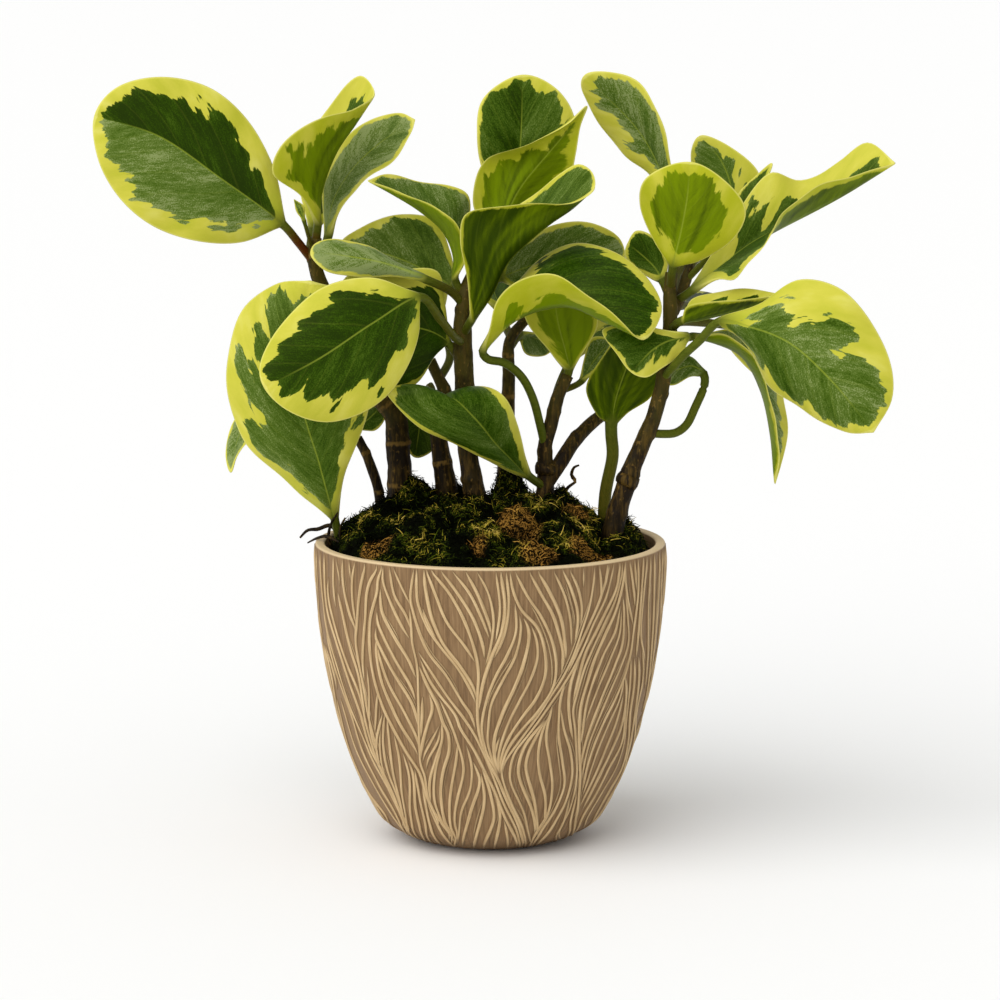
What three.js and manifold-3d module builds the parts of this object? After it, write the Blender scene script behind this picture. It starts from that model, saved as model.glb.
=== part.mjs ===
// A variegated peperomia in a round pot, in millimetres with Z up.
// The origin is on the ground under the pot's centre, and the front of the plant looks along -Y.
import * as THREE from "three";
import { mergeVertices } from "three/addons/utils/BufferGeometryUtils.js";
import Module from "manifold-3d";

const wasm = await Module();
wasm.setup();

// Driving dimensions
const gap = 0.3; // clearance between pieces that touch along a curved face
const pot = {
  height: 120,
  rimRadius: 70,
  footRadius: 36, // where the wall's curve would meet the ground
  wall: 4,
  floor: 5,
  standRadius: 26, // edge of the flat base that the pot stands on
  cornerHeight: 11, // height of the rounding between the wall and the base
  innerCorner: 15, // height at which the inner wall starts to turn to the floor
  lip: 1.4, // size of the rounding on the rim
  flare: 2, // the two powers that shape the wall
  belly: 0.72,
  sides: 48,
};
const soilTop = 112;
const moss = { edge: 116.5, rise: 16, centre: [-3, 17], power: 0.62, rings: 7, sides: 32, bump: 1.1 };
const leaf = { thickness: 1.3, stalkRadius: 1.7, fade: 0.32, rings: 9, stalkStep: 7, tipEnd: 0.97 };
const stemSides = 9;
const rootDepth = 88; // height at which the stems end inside the soil

// The plant is laid out as the eye meets it from in front and a little above.
// A point is [right, up, back]: right and up are measured across the line of sight from the rim's
// centre, and back is how far it lies behind the pot's middle.
const eye = { tilt: THREE.MathUtils.degToRad(9), distance: 1420 };
const eyePoint = new THREE.Vector3(
  0,
  -eye.distance * Math.cos(eye.tilt),
  pot.height + eye.distance * Math.sin(eye.tilt),
);

function place([right, up, back]) {
  const seen = new THREE.Vector3(right, up * Math.sin(eye.tilt), pot.height + up * Math.cos(eye.tilt));
  const ray = seen.sub(eyePoint);
  return eyePoint.clone().addScaledVector(ray, (back - eyePoint.y) / ray.y);
}

// Stems: path points [right, up, back] from the moss upwards, and the radius at each of them
const stems = {
  stem_left: [
    { path: [[-36, 16, 26], [-37, 41, 26], [-38, 50, 26], [-46, 60, 26], [-58, 80, 26], [-66, 98, 25],
        [-70.5, 112, 24], [-69.8, 121, 23]],
      radius: [6, 5.5, 5, 4.5, 4, 3.3, 3, 2.5] },
  ],
  stem_left_small: [
    { path: [[-44, 16, 32], [-49, 33, 32], [-53, 41, 32]], radius: [2.3, 2.1, 1.9] },
  ],
  stem_middle_rear: [
    { path: [[-17, 16, 26], [-20.5, 40, 27], [-22.5, 60, 28]], radius: [5, 4, 2.6] },
  ],
  stem_middle: [
    { path: [[-5, 8, 10], [-9, 36, 10], [-10, 58, 10], [-10.5, 70, 10], [-11, 85, 10], [-9, 100, 12],
        [-3, 112, 18], [6, 125, 20]],
      radius: [5.5, 5, 4, 4, 4, 3.5, 3, 2.4] },
    { path: [[-9, 36, 10], [-16.5, 56, 17], [-24, 72, 20]], radius: [3, 2.6, 2.2] },
  ],
  stem_rear: [
    { path: [[5, 14, 34], [7, 45, 34], [7.5, 65, 34], [8, 80, 34], [14, 88, 36]],
      radius: [4, 3, 2.8, 2.5, 2] },
  ],
  stem_forked: [
    { path: [[22, 12, 20], [22, 30, 20], [22, 38, 20], [24.5, 47, 20], [27, 57, 21], [31, 66, 22]],
      radius: [4.6, 4, 3.6, 3, 2.8, 2.4] },
    { path: [[22, 22, 20], [26, 28, 21], [34, 40, 26], [42, 48, 31], [52, 54, 36]],
      radius: [3, 3, 2.8, 2.6, 2.2] },
  ],
  stem_right: [
    { path: [[49, 2, -5], [55, 24, -5], [61.6, 40, -5], [65.7, 50, -5], [68.5, 60, -5], [70, 70, -5],
        [72, 84, -3], [72, 98, 0], [72.5, 107, 2]],
      radius: [5, 4.5, 4, 3.7, 3.2, 3, 3, 2.8, 2.4] },
    { path: [[72, 90, -2], [76, 97, 6], [80, 110, 14]], radius: [2.6, 2.4, 2] },
  ],
};

// Leaves: stalk runs from the middle of the stem to the blade, rib along the midrib to the tip, and
// left and right are the margins as they lie when the upper face is looked at with the tip up.
// bow is how far each half swells towards the upper face, as a part of its width.
const leaves = {
  leaf_upper_left: {
    stem: "stem_left", stalk: [[-70.4, 111, 24], [-77, 119.5, 22]],
    rib: [[-83, 126.5, 20], [-108, 145, 14], [-133, 162, 11], [-158.5, 170, 11]],
    left: [[-100, 119.5, 14], [-118, 120, 10], [-136, 126.5, 8], [-149, 138, 8], [-157, 153, 9]],
    right: [[-86.5, 148, 16], [-97, 168, 14], [-112, 181, 13], [-132, 185.5, 12], [-150, 181, 11]],
    bow: [0.06, 0.06],
  },
  leaf_left_folded: {
    stem: "stem_left", stalk: [[-69.9, 118, 23.2]],
    rib: [[-69, 126, 22], [-68, 138, 22], [-62, 155, 20], [-54, 167, 18], [-46.5, 178, 14]],
    left: [[-75, 142, 30], [-72, 162, 32], [-62.8, 176, 28], [-52, 186, 23], [-47.5, 182, 18]],
    right: [[-76, 138, 16], [-87, 147, 8], [-84, 158, 4], [-67, 169.3, 4], [-54, 173.3, 8]],
    bow: [-0.1, -0.1],
  },
  leaf_left_narrow: {
    stem: "stem_left", stalk: [[-70.2, 114, 23.8], [-67, 117, 28]],
    rib: [[-65, 121, 31], [-62.2, 136, 33], [-55, 148, 35], [-46, 157, 37], [-30, 168.5, 38]],
    left: [[-66.8, 140, 38], [-60.4, 157.6, 44], [-47, 168.8, 44], [-36, 171, 42]],
    right: [[-61.3, 130, 29], [-52, 142.6, 26], [-40, 151, 28], [-32, 162, 32]],
    bow: [-0.05, -0.05],
  },
  leaf_left_bud: {
    stem: "stem_left", stalk: [[-70.4, 113.5, 23.8]], stalkRadius: 0.8,
    rib: [[-74.5, 128, 15], [-76, 133, 14], [-78.5, 136.5, 14]],
    left: [[-77.4, 131.5, 14]],
    right: [[-74.5, 133.5, 14]],
    bow: [0, 0],
  },
  leaf_left_small: {
    stem: "stem_middle", stalk: [[-9.8, 93, 10.8], [-15, 99, 7]],
    rib: [[-26, 104.5, -3], [-42, 110.5, -7], [-58, 113.5, -8], [-72, 115, -8]],
    left: [[-38, 105.5, -6], [-54, 105.5, -10], [-65, 107.7, -12], [-70.5, 112, -10]],
    right: [[-36, 110.5, 1], [-50, 118, 0], [-62, 120.7, -2], [-70, 118.5, -4]],
    bow: [0.05, 0.05],
  },
  leaf_left_rear: {
    stem: "stem_middle", stalk: [[-10, 91, 10.6]],
    rib: [[-15, 101, 22], [-24, 107, 29], [-40, 114, 35], [-60, 118.5, 38]],
    left: [[-26, 100, 28], [-42, 104, 34], [-54, 112, 38]],
    right: [[-16, 115, 29], [-22, 128, 35], [-36, 130.3, 39], [-52, 125, 40]],
    bow: [0.06, 0.06],
  },
  leaf_front_left: {
    stem: "stem_middle", stalk: [[-10.8, 79, 10], [-14, 81, 1], [-20, 88.5, -13]],
    rib: [[-28.8, 97.4, -30], [-47, 87, -38], [-68, 73, -42], [-90.5, 61, -42]],
    left: [[-29, 82, -30], [-40, 59, -34], [-63, 47.3, -38], [-81, 52, -42]],
    right: [[-48, 105, -34], [-68, 100.5, -36], [-84, 85.5, -38], [-92.2, 70, -40]],
    bow: [0.06, 0.06],
  },
  leaf_low_left: {
    stem: "moss", stalk: [[-59, -8, 2], [-61, 3, 0]],
    rib: [[-62.3, 9, -2], [-68, 30, -9], [-76, 60, -13], [-72, 104, -6]],
    left: [[-79.5, 22.2, -4], [-99, 41, -6], [-105.4, 66, -6], [-99, 92, -2], [-86, 102.5, 0]],
    right: [[-59, 25, -8], [-49, 51, -13], [-47, 78, -14], [-56, 98, -8]],
    bow: [0.1, 0.1],
  },
  leaf_low_left_rear: {
    stem: "stem_left", stalk: [[-38, 50, 26], [-50, 57, 30]],
    rib: [[-66, 61, 30], [-86, 57, 28], [-98, 46, 24], [-103.8, 27, 20]],
    left: [[-80, 48, 20], [-94, 42, 18], [-101.5, 33, 18]],
    right: [[-85, 66, 34], [-101, 50, 30], [-105.9, 35, 24]],
    bow: [0, 0],
  },
  leaf_front_low: {
    stem: "stem_forked", stalk: [[22, 21, 20]],
    rib: [[15, 26, 12], [8, 33, 4], [2, 39, -4], [-5, 47.5, -13], [-13, 55, -18], [-19, 56.5, -11],
      [-24, 53, -3]],
    left: [[8, 28, 6], [-12, 37.5, -10], [-27.6, 44.8, -19], [-41, 58, -19], [-39, 61, -8], [-31, 56, -1]],
    right: [[13.7, 33, 5], [11, 46, -4], [5, 58, -8], [-3, 61.5, -2], [-14, 57.5, 0]],
    bow: [0.12, 0.12],
  },
  leaf_left_shaded: {
    stem: "stem_middle", stalk: [[-10.6, 70, 10]],
    rib: [[-17, 79, 11], [-25, 84, 6], [-40, 86, 2], [-60, 84, -1]],
    left: [[-21, 75, 8], [-30, 62.5, 3], [-44, 58, 0], [-56, 66, -2]],
    right: [[-18.5, 95, 8], [-21, 107.5, 7], [-40, 107.5, 2], [-58, 105, 0]],
    bow: [0.05, 0.05],
  },
  leaf_top_rear: {
    stem: "stem_middle", stalk: [[4.5, 122.8, 19.6]],
    rib: [[9, 130, 23], [11, 145, 28], [12.5, 165, 31], [13, 186.5, 29]],
    left: [[-2, 146, 26], [-5.2, 162, 27], [-2.5, 177, 29]],
    right: [[22, 145, 27], [34, 165, 27], [28, 179.5, 29]],
    bow: [0.06, 0.06],
  },
  leaf_top_cupped: {
    stem: "stem_middle", stalk: [[0.5, 117, 18.8], [3, 122, 13.5]],
    rib: [[5.5, 128, 12], [12, 141, 12], [24, 156, 11], [39, 174, 13]],
    left: [[20, 134, 15], [31, 144, 14], [34.3, 155, 13], [36.3, 166, 13]],
    right: [[-5, 131, 16], [-6.3, 142, 14], [-1.5, 152.3, 12], [17.5, 159, 4], [32, 167.5, 8]],
    bow: [0.12, 0.1],
  },
  leaf_centre_folded: {
    stem: "stem_middle", stalk: [[-10.9, 82, 10]],
    rib: [[-7.5, 88, 2], [0, 98, -4], [7, 111.5, -8], [15, 119.5, -10], [24, 127, -10], [33, 133, -8],
      [42, 141, -5]],
    left: [[-8, 104, 4], [-6, 122, 5], [10, 133, 5], [28, 146.5, 3], [36, 150.5, 0], [41, 147.5, -2]],
    right: [[-9, 104, -8], [-12, 121, -16], [-9.5, 130.5, -18], [13, 134.5, -18], [34, 135.5, -12]],
    bow: [-0.05, 0.1],
  },
  leaf_centre_left: {
    stem: "stem_middle", stalk: [[-9.3, 96, 11.4]],
    rib: [[-14, 104, 12], [-14, 113, 12], [-18.5, 123.5, 12], [-28, 132, 13], [-39, 138.8, 12],
      [-49, 144, 10]],
    left: [[-10, 112, 6], [-13, 127, 1], [-21, 132.5, 3], [-36, 139.6, 8]],
    right: [[-11, 113, 18], [-8, 128, 24], [-9, 138, 25], [-16, 141.8, 25], [-29, 143.9, 22],
      [-42, 146.4, 16]],
    bow: [-0.05, -0.05],
  },
  leaf_centre_arching: {
    stem: "stem_forked",
    stalk: [[22, 37, 20], [20, 46, 16], [17, 57, 12], [12.4, 65.6, 8], [5.5, 71, 4], [-1, 72.5, 1]],
    rib: [[-3, 75.5, -1], [2.5, 82, -5], [9, 87.5, -9], [19, 92, -14], [32, 93.5, -20], [47, 87, -24],
      [62, 80.3, -26]],
    left: [[8, 100, 2], [22, 113.7, 6], [35, 119.3, 4], [50, 115, -2], [64, 104, -8], [68.7, 92, -16]],
    right: [[-0.5, 84, -10], [3, 96, -16], [13, 105, -24], [26, 106, -32], [42, 96.5, -36], [54, 86, -34]],
    bow: [0.08, -0.05],
  },
  leaf_centre_rear: {
    stem: "stem_middle", stalk: [[-9.2, 99, 11.9], [-4, 101, 18]],
    rib: [[4, 105, 24], [20, 111, 33], [36, 114, 39], [54, 112, 43]],
    left: [[8, 114, 29], [16, 121, 32], [25, 126, 35], [40, 127, 39], [52, 120.5, 43]],
    right: [[14, 100, 27], [30, 102, 35], [48, 105, 39]],
    bow: [0.06, 0.06],
  },
  leaf_right_inner: {
    stem: "stem_right", stalk: [[72, 96.5, -0.2]],
    rib: [[69, 104, 6.5], [66, 109, 9], [61, 114, 10], [55, 119, 10]],
    left: [[65.5, 104.5, 8], [58.5, 108.5, 9], [54, 114, 10]],
    right: [[71, 112, 9], [66, 121, 10], [58.5, 123.8, 10]],
    bow: [0.04, 0.04],
  },
  leaf_right_high: {
    stem: "stem_right", stalk: [[72.4, 103.5, 1.2], [74.6, 113, 12.5]],
    rib: [[73.5, 124, 17], [69, 147, 23], [60, 164, 26], [38, 186.5, 26]],
    left: [[64, 146, 28], [53, 155, 33], [42.6, 169, 34], [36.6, 181, 30]],
    right: [[73, 146, 19], [70, 163, 16], [61, 182, 18], [48, 187.6, 22]],
    bow: [0.06, 0.06],
  },
  leaf_right_round: {
    stem: "stem_right", stalk: [[72.2, 101, 0.7]],
    rib: [[73.2, 110, -8], [76.5, 124, -13], [79, 138, -18], [80, 151.5, -20]],
    left: [[84, 112, -9], [98, 121.5, -13], [102.3, 132, -17], [94, 144, -20]],
    right: [[66.5, 119, -9], [60, 134, -13], [62.5, 145, -18]],
    bow: [-0.05, -0.05],
  },
  leaf_right_rear: {
    stem: "stem_right", stalk: [[79.9, 109.6, 13.8], [84, 114, 21]],
    rib: [[92, 120, 26], [97, 136, 28], [93, 151, 29], [84, 162, 29]],
    left: [[86, 128, 26], [81.5, 145, 28], [80.8, 157, 29]],
    right: [[103, 134, 26], [107.8, 146, 28], [96, 157.5, 30]],
    bow: [0.05, 0.05],
  },
  leaf_right_young: {
    stem: "stem_right", stalk: [[78.4, 103.8, 10.2], [87, 113, 11]], stalkRadius: 1.3,
    rib: [[97, 125, 15], [103, 134, 16], [108, 142, 17], [113, 151, 18]],
    left: [[98, 136, 20], [106, 145.5, 20]],
    right: [[104, 132, 12], [109, 141, 14]],
    bow: [-0.1, -0.1],
  },
  leaf_right_long: {
    stem: "stem_right", stalk: [[75, 96, 4.4]],
    rib: [[81, 100, 0], [89, 106.5, 0], [104, 118, 2], [119, 126.3, 2], [140, 137.5, 0],
      [162.5, 151, -2]],
    left: [[94, 122, 6], [112, 147, 9], [124, 144, 12], [140, 151.5, 12], [151, 159.4, 8]],
    right: [[91, 105, -6], [98, 104.6, -11], [104.5, 112, -14], [112.5, 122.5, -13], [118, 132, -12],
      [131, 141.5, -10], [148, 146.8, -6]],
    bow: [0.03, 0.03],
  },
  leaf_right_level: {
    stem: "stem_right", stalk: [[71.9, 84, -3.1]],
    rib: [[77, 88, -10], [84, 88.5, -12], [95, 91, -14], [106, 94, -16], [116, 98, -18]],
    left: [[81, 96.5, -5], [95, 100, -4], [109, 100, -9]],
    right: [[79, 94, -15], [92, 95.5, -19], [106, 97, -19]],
    bow: [-0.03, -0.03],
  },
  leaf_right_big: {
    stem: "stem_right", stalk: [[69.3, 65, -5], [73.5, 69.5, -12], [78, 74.5, -16], [83.5, 79.5, -20]],
    rib: [[92, 87.5, -26], [104, 85.5, -33], [120, 79, -40], [137, 63.5, -45], [153.5, 43, -46]],
    left: [[108, 94.3, -30], [124, 104.2, -34], [141, 100, -38], [158, 77, -42], [161, 57, -44]],
    right: [[101.5, 80.5, -26], [111, 62.7, -28], [126, 51.7, -35], [142, 43.2, -42]],
    bow: [0.05, 0.12],
  },
  leaf_right_hanging: {
    stem: "stem_right", stalk: [[70.6, 74, -4.6], [75, 79, 3]],
    rib: [[81, 81.5, 6], [90, 79.5, 6], [101, 73.5, 5], [108.5, 60, 4], [112.5, 42, 2],
      [114, 22.3, 0]],
    left: [[102, 84, 13], [114, 72, 14], [118, 55, 12], [118.5, 38, 8]],
    right: [[96, 82, -3], [109, 68, -8], [113, 52, -9], [116, 36, -5]],
    bow: [-0.05, -0.05],
  },
  leaf_right_low: {
    stem: "stem_right", stalk: [[71.2, 79, -3.8], [75.5, 81, -6.5]],
    rib: [[79, 81.5, -9], [72, 80, -11], [65, 76, -13], [56.5, 67, -15]],
    left: [[77, 75.5, -9.5], [68.5, 68.7, -13], [62, 65.2, -16]],
    right: [[73, 83, -12], [58, 86, -9], [45, 84, -9], [51, 74, -13]],
    bow: [0.05, 0.05],
  },
  leaf_right_dark: {
    stem: "moss", stalkRadius: 2.5,
    stalk: [[45, -14, 20], [46, 18, 20], [49, 34, 20], [48.5, 42, 21]],
    rib: [[48.5, 47, 22], [50, 56, 24], [54, 68, 26], [60, 84, 26]],
    left: [[54, 51, 22], [64, 57, 24], [70, 70, 26], [67, 82, 27]],
    right: [[43.5, 50, 20], [38.6, 60, 20], [44, 72, 22], [52, 82, 24]],
    bow: [0.08, 0.08],
  },
  leaf_right_looped: {
    stem: "stem_right",
    stalk: [[62.8, 43, -5], [69, 42.5, -3], [74.3, 43, 0], [78.6, 46.2, 3], [82, 53, 5], [85.9, 62.7, 7]],
    rib: [[85.4, 66.5, 8], [81, 69.5, 9], [75, 68, 10], [67, 64, 12]],
    left: [[80, 65.5, 8], [73, 62, 9]],
    right: [[81, 73, 10], [74, 74, 12]],
    bow: [0, 0],
  },
  leaf_centre_low: {
    stem: "stem_forked", stalk: [[30, 64, 21.8]],
    rib: [[31.5, 68, 22], [30, 76, 22], [27, 88, 18], [25, 103, 14]],
    left: [[36, 74, 22], [43, 86, 20], [40, 98, 18]],
    right: [[25.5, 74, 20], [14.5, 88, 18], [13, 97, 16]],
    bow: [0.08, 0.08],
  },
  leaf_centre_far: {
    stem: "stem_rear", stalk: [[7.8, 77, 34]],
    rib: [[12, 82, 42], [18, 81, 48], [26, 78, 56]],
    left: [[16, 83, 44], [25, 82, 52]],
    right: [[14, 75, 44], [22, 74, 52]],
    bow: [0, 0],
  },
  leaf_centre_small: {
    stem: "stem_forked", stalk: [[28.2, 59.5, 21.3]], stalkRadius: 1.3,
    rib: [[36.5, 63.5, 27], [42, 72, 29], [49, 80, 31]],
    left: [[37.5, 72, 30], [41, 81, 32]],
    right: [[42, 68, 26], [50, 76, 29]],
    bow: [0, 0],
  },
  leaf_left_inner: {
    stem: "stem_left_small", stalk: [[-52.5, 40, 32]], stalkRadius: 1.3,
    rib: [[-54, 45, 34], [-49, 48, 34], [-43, 54, 34]],
    left: [[-51, 51, 36]],
    right: [[-46, 44, 32], [-42, 49, 32]],
    bow: [0, 0],
  },
  leaf_left_drooping: {
    stem: "stem_middle_rear", stalk: [[-22.2, 57, 27.9], [-24, 62, 34]], stalkRadius: 1.3,
    rib: [[-26, 57, 37], [-28, 47, 37], [-30, 33, 36]],
    left: [[-19, 47, 35], [-22, 37, 35]],
    right: [[-34, 52, 36], [-35, 42, 35]],
    bow: [0, 0],
  },
  leaf_back_left_high: {
    stem: "stem_left", stalk: [[-69.5, 108.5, 24.2], [-72, 113, 33]],
    rib: [[-71, 124, 44], [-67, 138, 54], [-63, 149, 66], [-57, 157, 76]],
    left: [[-76, 140, 58], [-74, 154, 70], [-65, 160, 76]],
    right: [[-60, 134, 52], [-50, 146, 64], [-48, 154, 72]],
    bow: [0.06, 0.06],
  },
  leaf_back_left: {
    stem: "stem_left", stalk: [[-66.4, 99, 24.9], [-70, 101, 34]],
    rib: [[-73, 101, 42], [-80, 98, 58], [-86, 90, 74], [-90, 76, 86]],
    left: [[-62, 98, 48], [-60, 90, 64], [-66, 80, 80], [-80, 71, 88]],
    right: [[-84, 99, 46], [-97, 92, 60], [-103, 80, 76], [-99, 72, 86]],
    bow: [0.1, 0.1],
  },
  leaf_back_left_low: {
    stem: "stem_left", stalk: [[-46, 60, 26], [-50, 64, 34]],
    rib: [[-56, 66, 42], [-66, 66, 56], [-78, 60, 68], [-90, 50, 76]],
    left: [[-54, 60, 50], [-60, 52, 66], [-74, 45, 76], [-86, 42, 78]],
    right: [[-68, 72, 44], [-84, 72, 52], [-98, 62, 64], [-98, 52, 74]],
    bow: [0.1, 0.1],
  },
  leaf_back_middle_left: {
    stem: "stem_middle", stalk: [[-23.6, 71, 19.8], [-28, 75, 28]],
    rib: [[-32, 78, 38], [-40, 83, 50], [-49, 85, 62], [-57, 81, 73]],
    left: [[-30, 72, 46], [-37, 68, 59], [-47, 66, 71], [-54, 70, 75]],
    right: [[-36, 88, 42], [-47, 96, 51], [-56, 96, 60], [-60, 89, 69]],
    bow: [0.08, 0.08],
  },
  leaf_back_middle_high: {
    stem: "stem_middle", stalk: [[-20.5, 64, 18.5], [-16, 74, 30]],
    rib: [[-21, 88, 42], [-28, 100, 56], [-32, 110, 68], [-38, 116, 80]],
    left: [[-36, 94, 48], [-48, 104, 60], [-52, 112, 72]],
    right: [[-18, 96, 48], [-16, 108, 62], [-22, 118, 74]],
    bow: [0.08, 0.08],
  },
  leaf_back_centre: {
    stem: "stem_rear", stalk: [[11, 84.4, 35.1]],
    rib: [[17, 95, 44], [25, 103, 58], [35, 109, 72], [45, 109, 86]],
    left: [[14, 104, 50], [22, 116, 62], [36, 121, 76], [46, 117, 86]],
    right: [[25, 98, 50], [38, 100, 62], [52, 103, 74], [54, 105, 84]],
    bow: [0.08, 0.08],
  },
  leaf_back_centre_left: {
    stem: "stem_rear", stalk: [[8.4, 81, 34.2], [6, 86, 42]],
    rib: [[4, 92, 50], [1, 100, 62], [-1, 106, 74], [-2, 108, 86]],
    left: [[-5, 100, 56], [-8, 112, 70], [-8, 116, 82]],
    right: [[10, 100, 58], [12, 108, 70], [8, 112, 84]],
    bow: [0.08, 0.08],
  },
  leaf_back_centre_low: {
    stem: "stem_forked", stalk: [[26, 53, 20.7], [27, 60, 31]],
    rib: [[33, 73, 40], [41, 82, 50], [49, 87, 62], [56, 86, 72]],
    left: [[31, 82, 47], [37, 92, 58], [48, 97, 68], [55, 94, 74]],
    right: [[44, 78, 46], [56, 78, 56], [64, 79, 66], [62, 82, 72]],
    bow: [0.08, 0.08],
  },
  leaf_back_right_low: {
    stem: "stem_forked", stalk: [[50, 53, 35.1]],
    rib: [[53, 57, 42], [56, 64, 54], [58, 71, 64], [58, 78, 74]],
    left: [[46, 62, 50], [45, 72, 62], [50, 80, 72]],
    right: [[61, 60, 48], [66, 66, 60], [66, 75, 70]],
    bow: [0.08, 0.08],
  },
  leaf_back_right_high: {
    stem: "stem_right", stalk: [[76.8, 99, 7.2], [75, 105, 20]],
    rib: [[81, 115, 34], [90, 127, 48], [96, 135, 62], [100, 138, 76]],
    left: [[76, 124, 42], [74, 138, 56], [84, 148, 70], [94, 148, 78]],
    right: [[94, 120, 40], [104, 128, 54], [108, 136, 68], [106, 138, 76]],
    bow: [0.08, 0.08],
  },
  leaf_back_right: {
    stem: "stem_right", stalk: [[72, 91, -1.6], [75.5, 93.5, 9]],
    rib: [[80, 94, 21], [86, 94, 36], [94, 95, 52], [102, 93, 66]],
    left: [[74, 94, 32], [72, 98, 50], [82, 99, 66], [94, 96, 72]],
    right: [[92, 92, 26], [106, 93, 38], [112, 94, 52], [110, 93, 62]],
    bow: [0.08, 0.08],
  },
  leaf_back_right_big: {
    stem: "stem_right", stalk: [[71.8, 83, -3.2], [75, 87, 9], [86, 87, 23]],
    rib: [[96, 86, 32], [108, 86, 46], [120, 82, 60], [132, 72, 72]],
    left: [[96, 78, 38], [104, 68, 54], [116, 60, 68], [128, 62, 76]],
    right: [[106, 93, 34], [124, 97, 44], [138, 92, 56], [142, 80, 66]],
    bow: [0.08, 0.08],
  },
  leaf_back_top: {
    stem: "stem_middle", stalk: [[3.5, 121.5, 19.4], [5, 126, 30]],
    rib: [[7, 131, 40], [10, 140, 52], [14, 148, 64], [18, 153, 76]],
    left: [[0, 136, 48], [-3, 148, 60], [4, 158, 74]],
    right: [[17, 136, 46], [27, 146, 58], [30, 155, 70]],
    bow: [0.08, 0.08],
  },
};

// Helpers

// Points along a smooth curve through the given ones, from one of them to another, evenly spaced.
function evenly(points, count, first = 0, last = points.length - 1) {
  const steps = 24;
  const curve = new THREE.CatmullRomCurve3(points, false, "centripetal");
  const line = curve.getPoints((points.length - 1) * steps).slice(first * steps, last * steps + 1);
  const lengths = [0];
  for (let i = 1; i < line.length; i++) lengths.push(lengths[i - 1] + line[i].distanceTo(line[i - 1]));
  const total = lengths[lengths.length - 1];
  const spaced = [];
  let segment = 1;
  for (let i = 0; i < count; i++) {
    const wanted = (total * i) / (count - 1);
    while (segment < line.length - 1 && lengths[segment] < wanted) segment++;
    const part = (wanted - lengths[segment - 1]) / (lengths[segment] - lengths[segment - 1]);
    spaced.push(line[segment - 1].clone().lerp(line[segment], part));
  }
  return { points: spaced, length: total };
}

function direction(points, i) {
  const before = points[Math.max(i - 1, 0)];
  const after = points[Math.min(i + 1, points.length - 1)];
  return after.clone().sub(before).normalize();
}

// The part of a vector that is square to an axis, at unit length.
function squared(vector, axis) {
  return vector.clone().addScaledVector(axis, -vector.dot(axis)).normalize();
}

// A closed skin over rings of points, with a point at each end.
// The rings turn from the second axis to the third while they climb along the first.
function skin(rings, start, end) {
  const around = rings[0].length;
  const positions = rings.flat().concat([start, end]).flatMap((p) => [p.x, p.y, p.z]);
  const startIndex = rings.length * around;
  const lastRing = (rings.length - 1) * around;
  const index = [];
  for (let k = 0; k < around; k++) {
    const next = (k + 1) % around;
    for (let i = 0; i < rings.length - 1; i++) {
      const a = i * around;
      const b = a + around;
      index.push(a + k, a + next, b + next, a + k, b + next, b + k);
    }
    index.push(startIndex, next, k, startIndex + 1, lastRing + k, lastRing + next);
  }
  return solidFrom(new Float32Array(positions), new Uint32Array(index));
}

function solidFrom(vertProperties, triVerts) {
  return new wasm.Manifold(new wasm.Mesh({ numProp: 3, vertProperties, triVerts }));
}

// A three.js geometry as a solid, without the zero faces that a lathe leaves on its axis.
function solid(geometry) {
  geometry.deleteAttribute("normal");
  geometry.deleteAttribute("uv");
  const merged = mergeVertices(geometry, 1e-3);
  const triangles = [];
  for (let i = 0; i < merged.index.count; i += 3) {
    const [a, b, c] = [0, 1, 2].map((k) => merged.index.getX(i + k));
    if (a !== b && b !== c && c !== a) triangles.push(a, b, c);
  }
  return solidFrom(new Float32Array(merged.attributes.position.array), new Uint32Array(triangles));
}

function geometryOf(manifold) {
  const { numProp, vertProperties, triVerts } = manifold.getMesh();
  const positions = [];
  for (let i = 0; i < vertProperties.length; i += numProp) {
    positions.push(...vertProperties.slice(i, i + 3));
  }
  const geometry = new THREE.BufferGeometry();
  geometry.setAttribute("position", new THREE.Float32BufferAttribute(positions, 3));
  geometry.setIndex(Array.from(triVerts));
  return geometry;
}

// A round tube along a path, with a radius at each of the path's points.
function tube(path, radius, sides, step, extra = 0) {
  const rough = evenly(path, 2);
  const count = Math.max(3, Math.round(rough.length / step) + 1);
  const { points } = evenly(path, count);
  let side = new THREE.Vector3(1, 0, 0);
  const rings = points.map((centre, i) => {
    const axis = direction(points, i);
    side = squared(side, axis);
    const other = axis.clone().cross(side);
    const along = (i / (count - 1)) * (radius.length - 1);
    const k = Math.min(Math.floor(along), radius.length - 2);
    const r = THREE.MathUtils.lerp(radius[k], radius[k + 1], along - k) + extra;
    return Array.from({ length: sides }, (_, j) => {
      const angle = (2 * Math.PI * j) / sides;
      return centre.clone()
        .addScaledVector(side, r * Math.cos(angle))
        .addScaledVector(other, r * Math.sin(angle));
    });
  });
  return skin(rings, points[0], points[count - 1]);
}

// Pot

function wallRadius(z) {
  const rise = z / pot.height;
  const curve = (1 - (1 - rise) ** pot.flare) ** pot.belly;
  const free = pot.footRadius + (pot.rimRadius - pot.footRadius) * curve;
  if (z >= pot.cornerHeight) return free;
  const corner = wallRadius(pot.cornerHeight);
  const round = Math.sqrt(1 - (1 - z / pot.cornerHeight) ** 2);
  return pot.standRadius + (corner - pot.standRadius) * round;
}

function innerRadius(z) {
  return wallRadius(Math.max(z, pot.cornerHeight)) - pot.wall;
}

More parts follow.
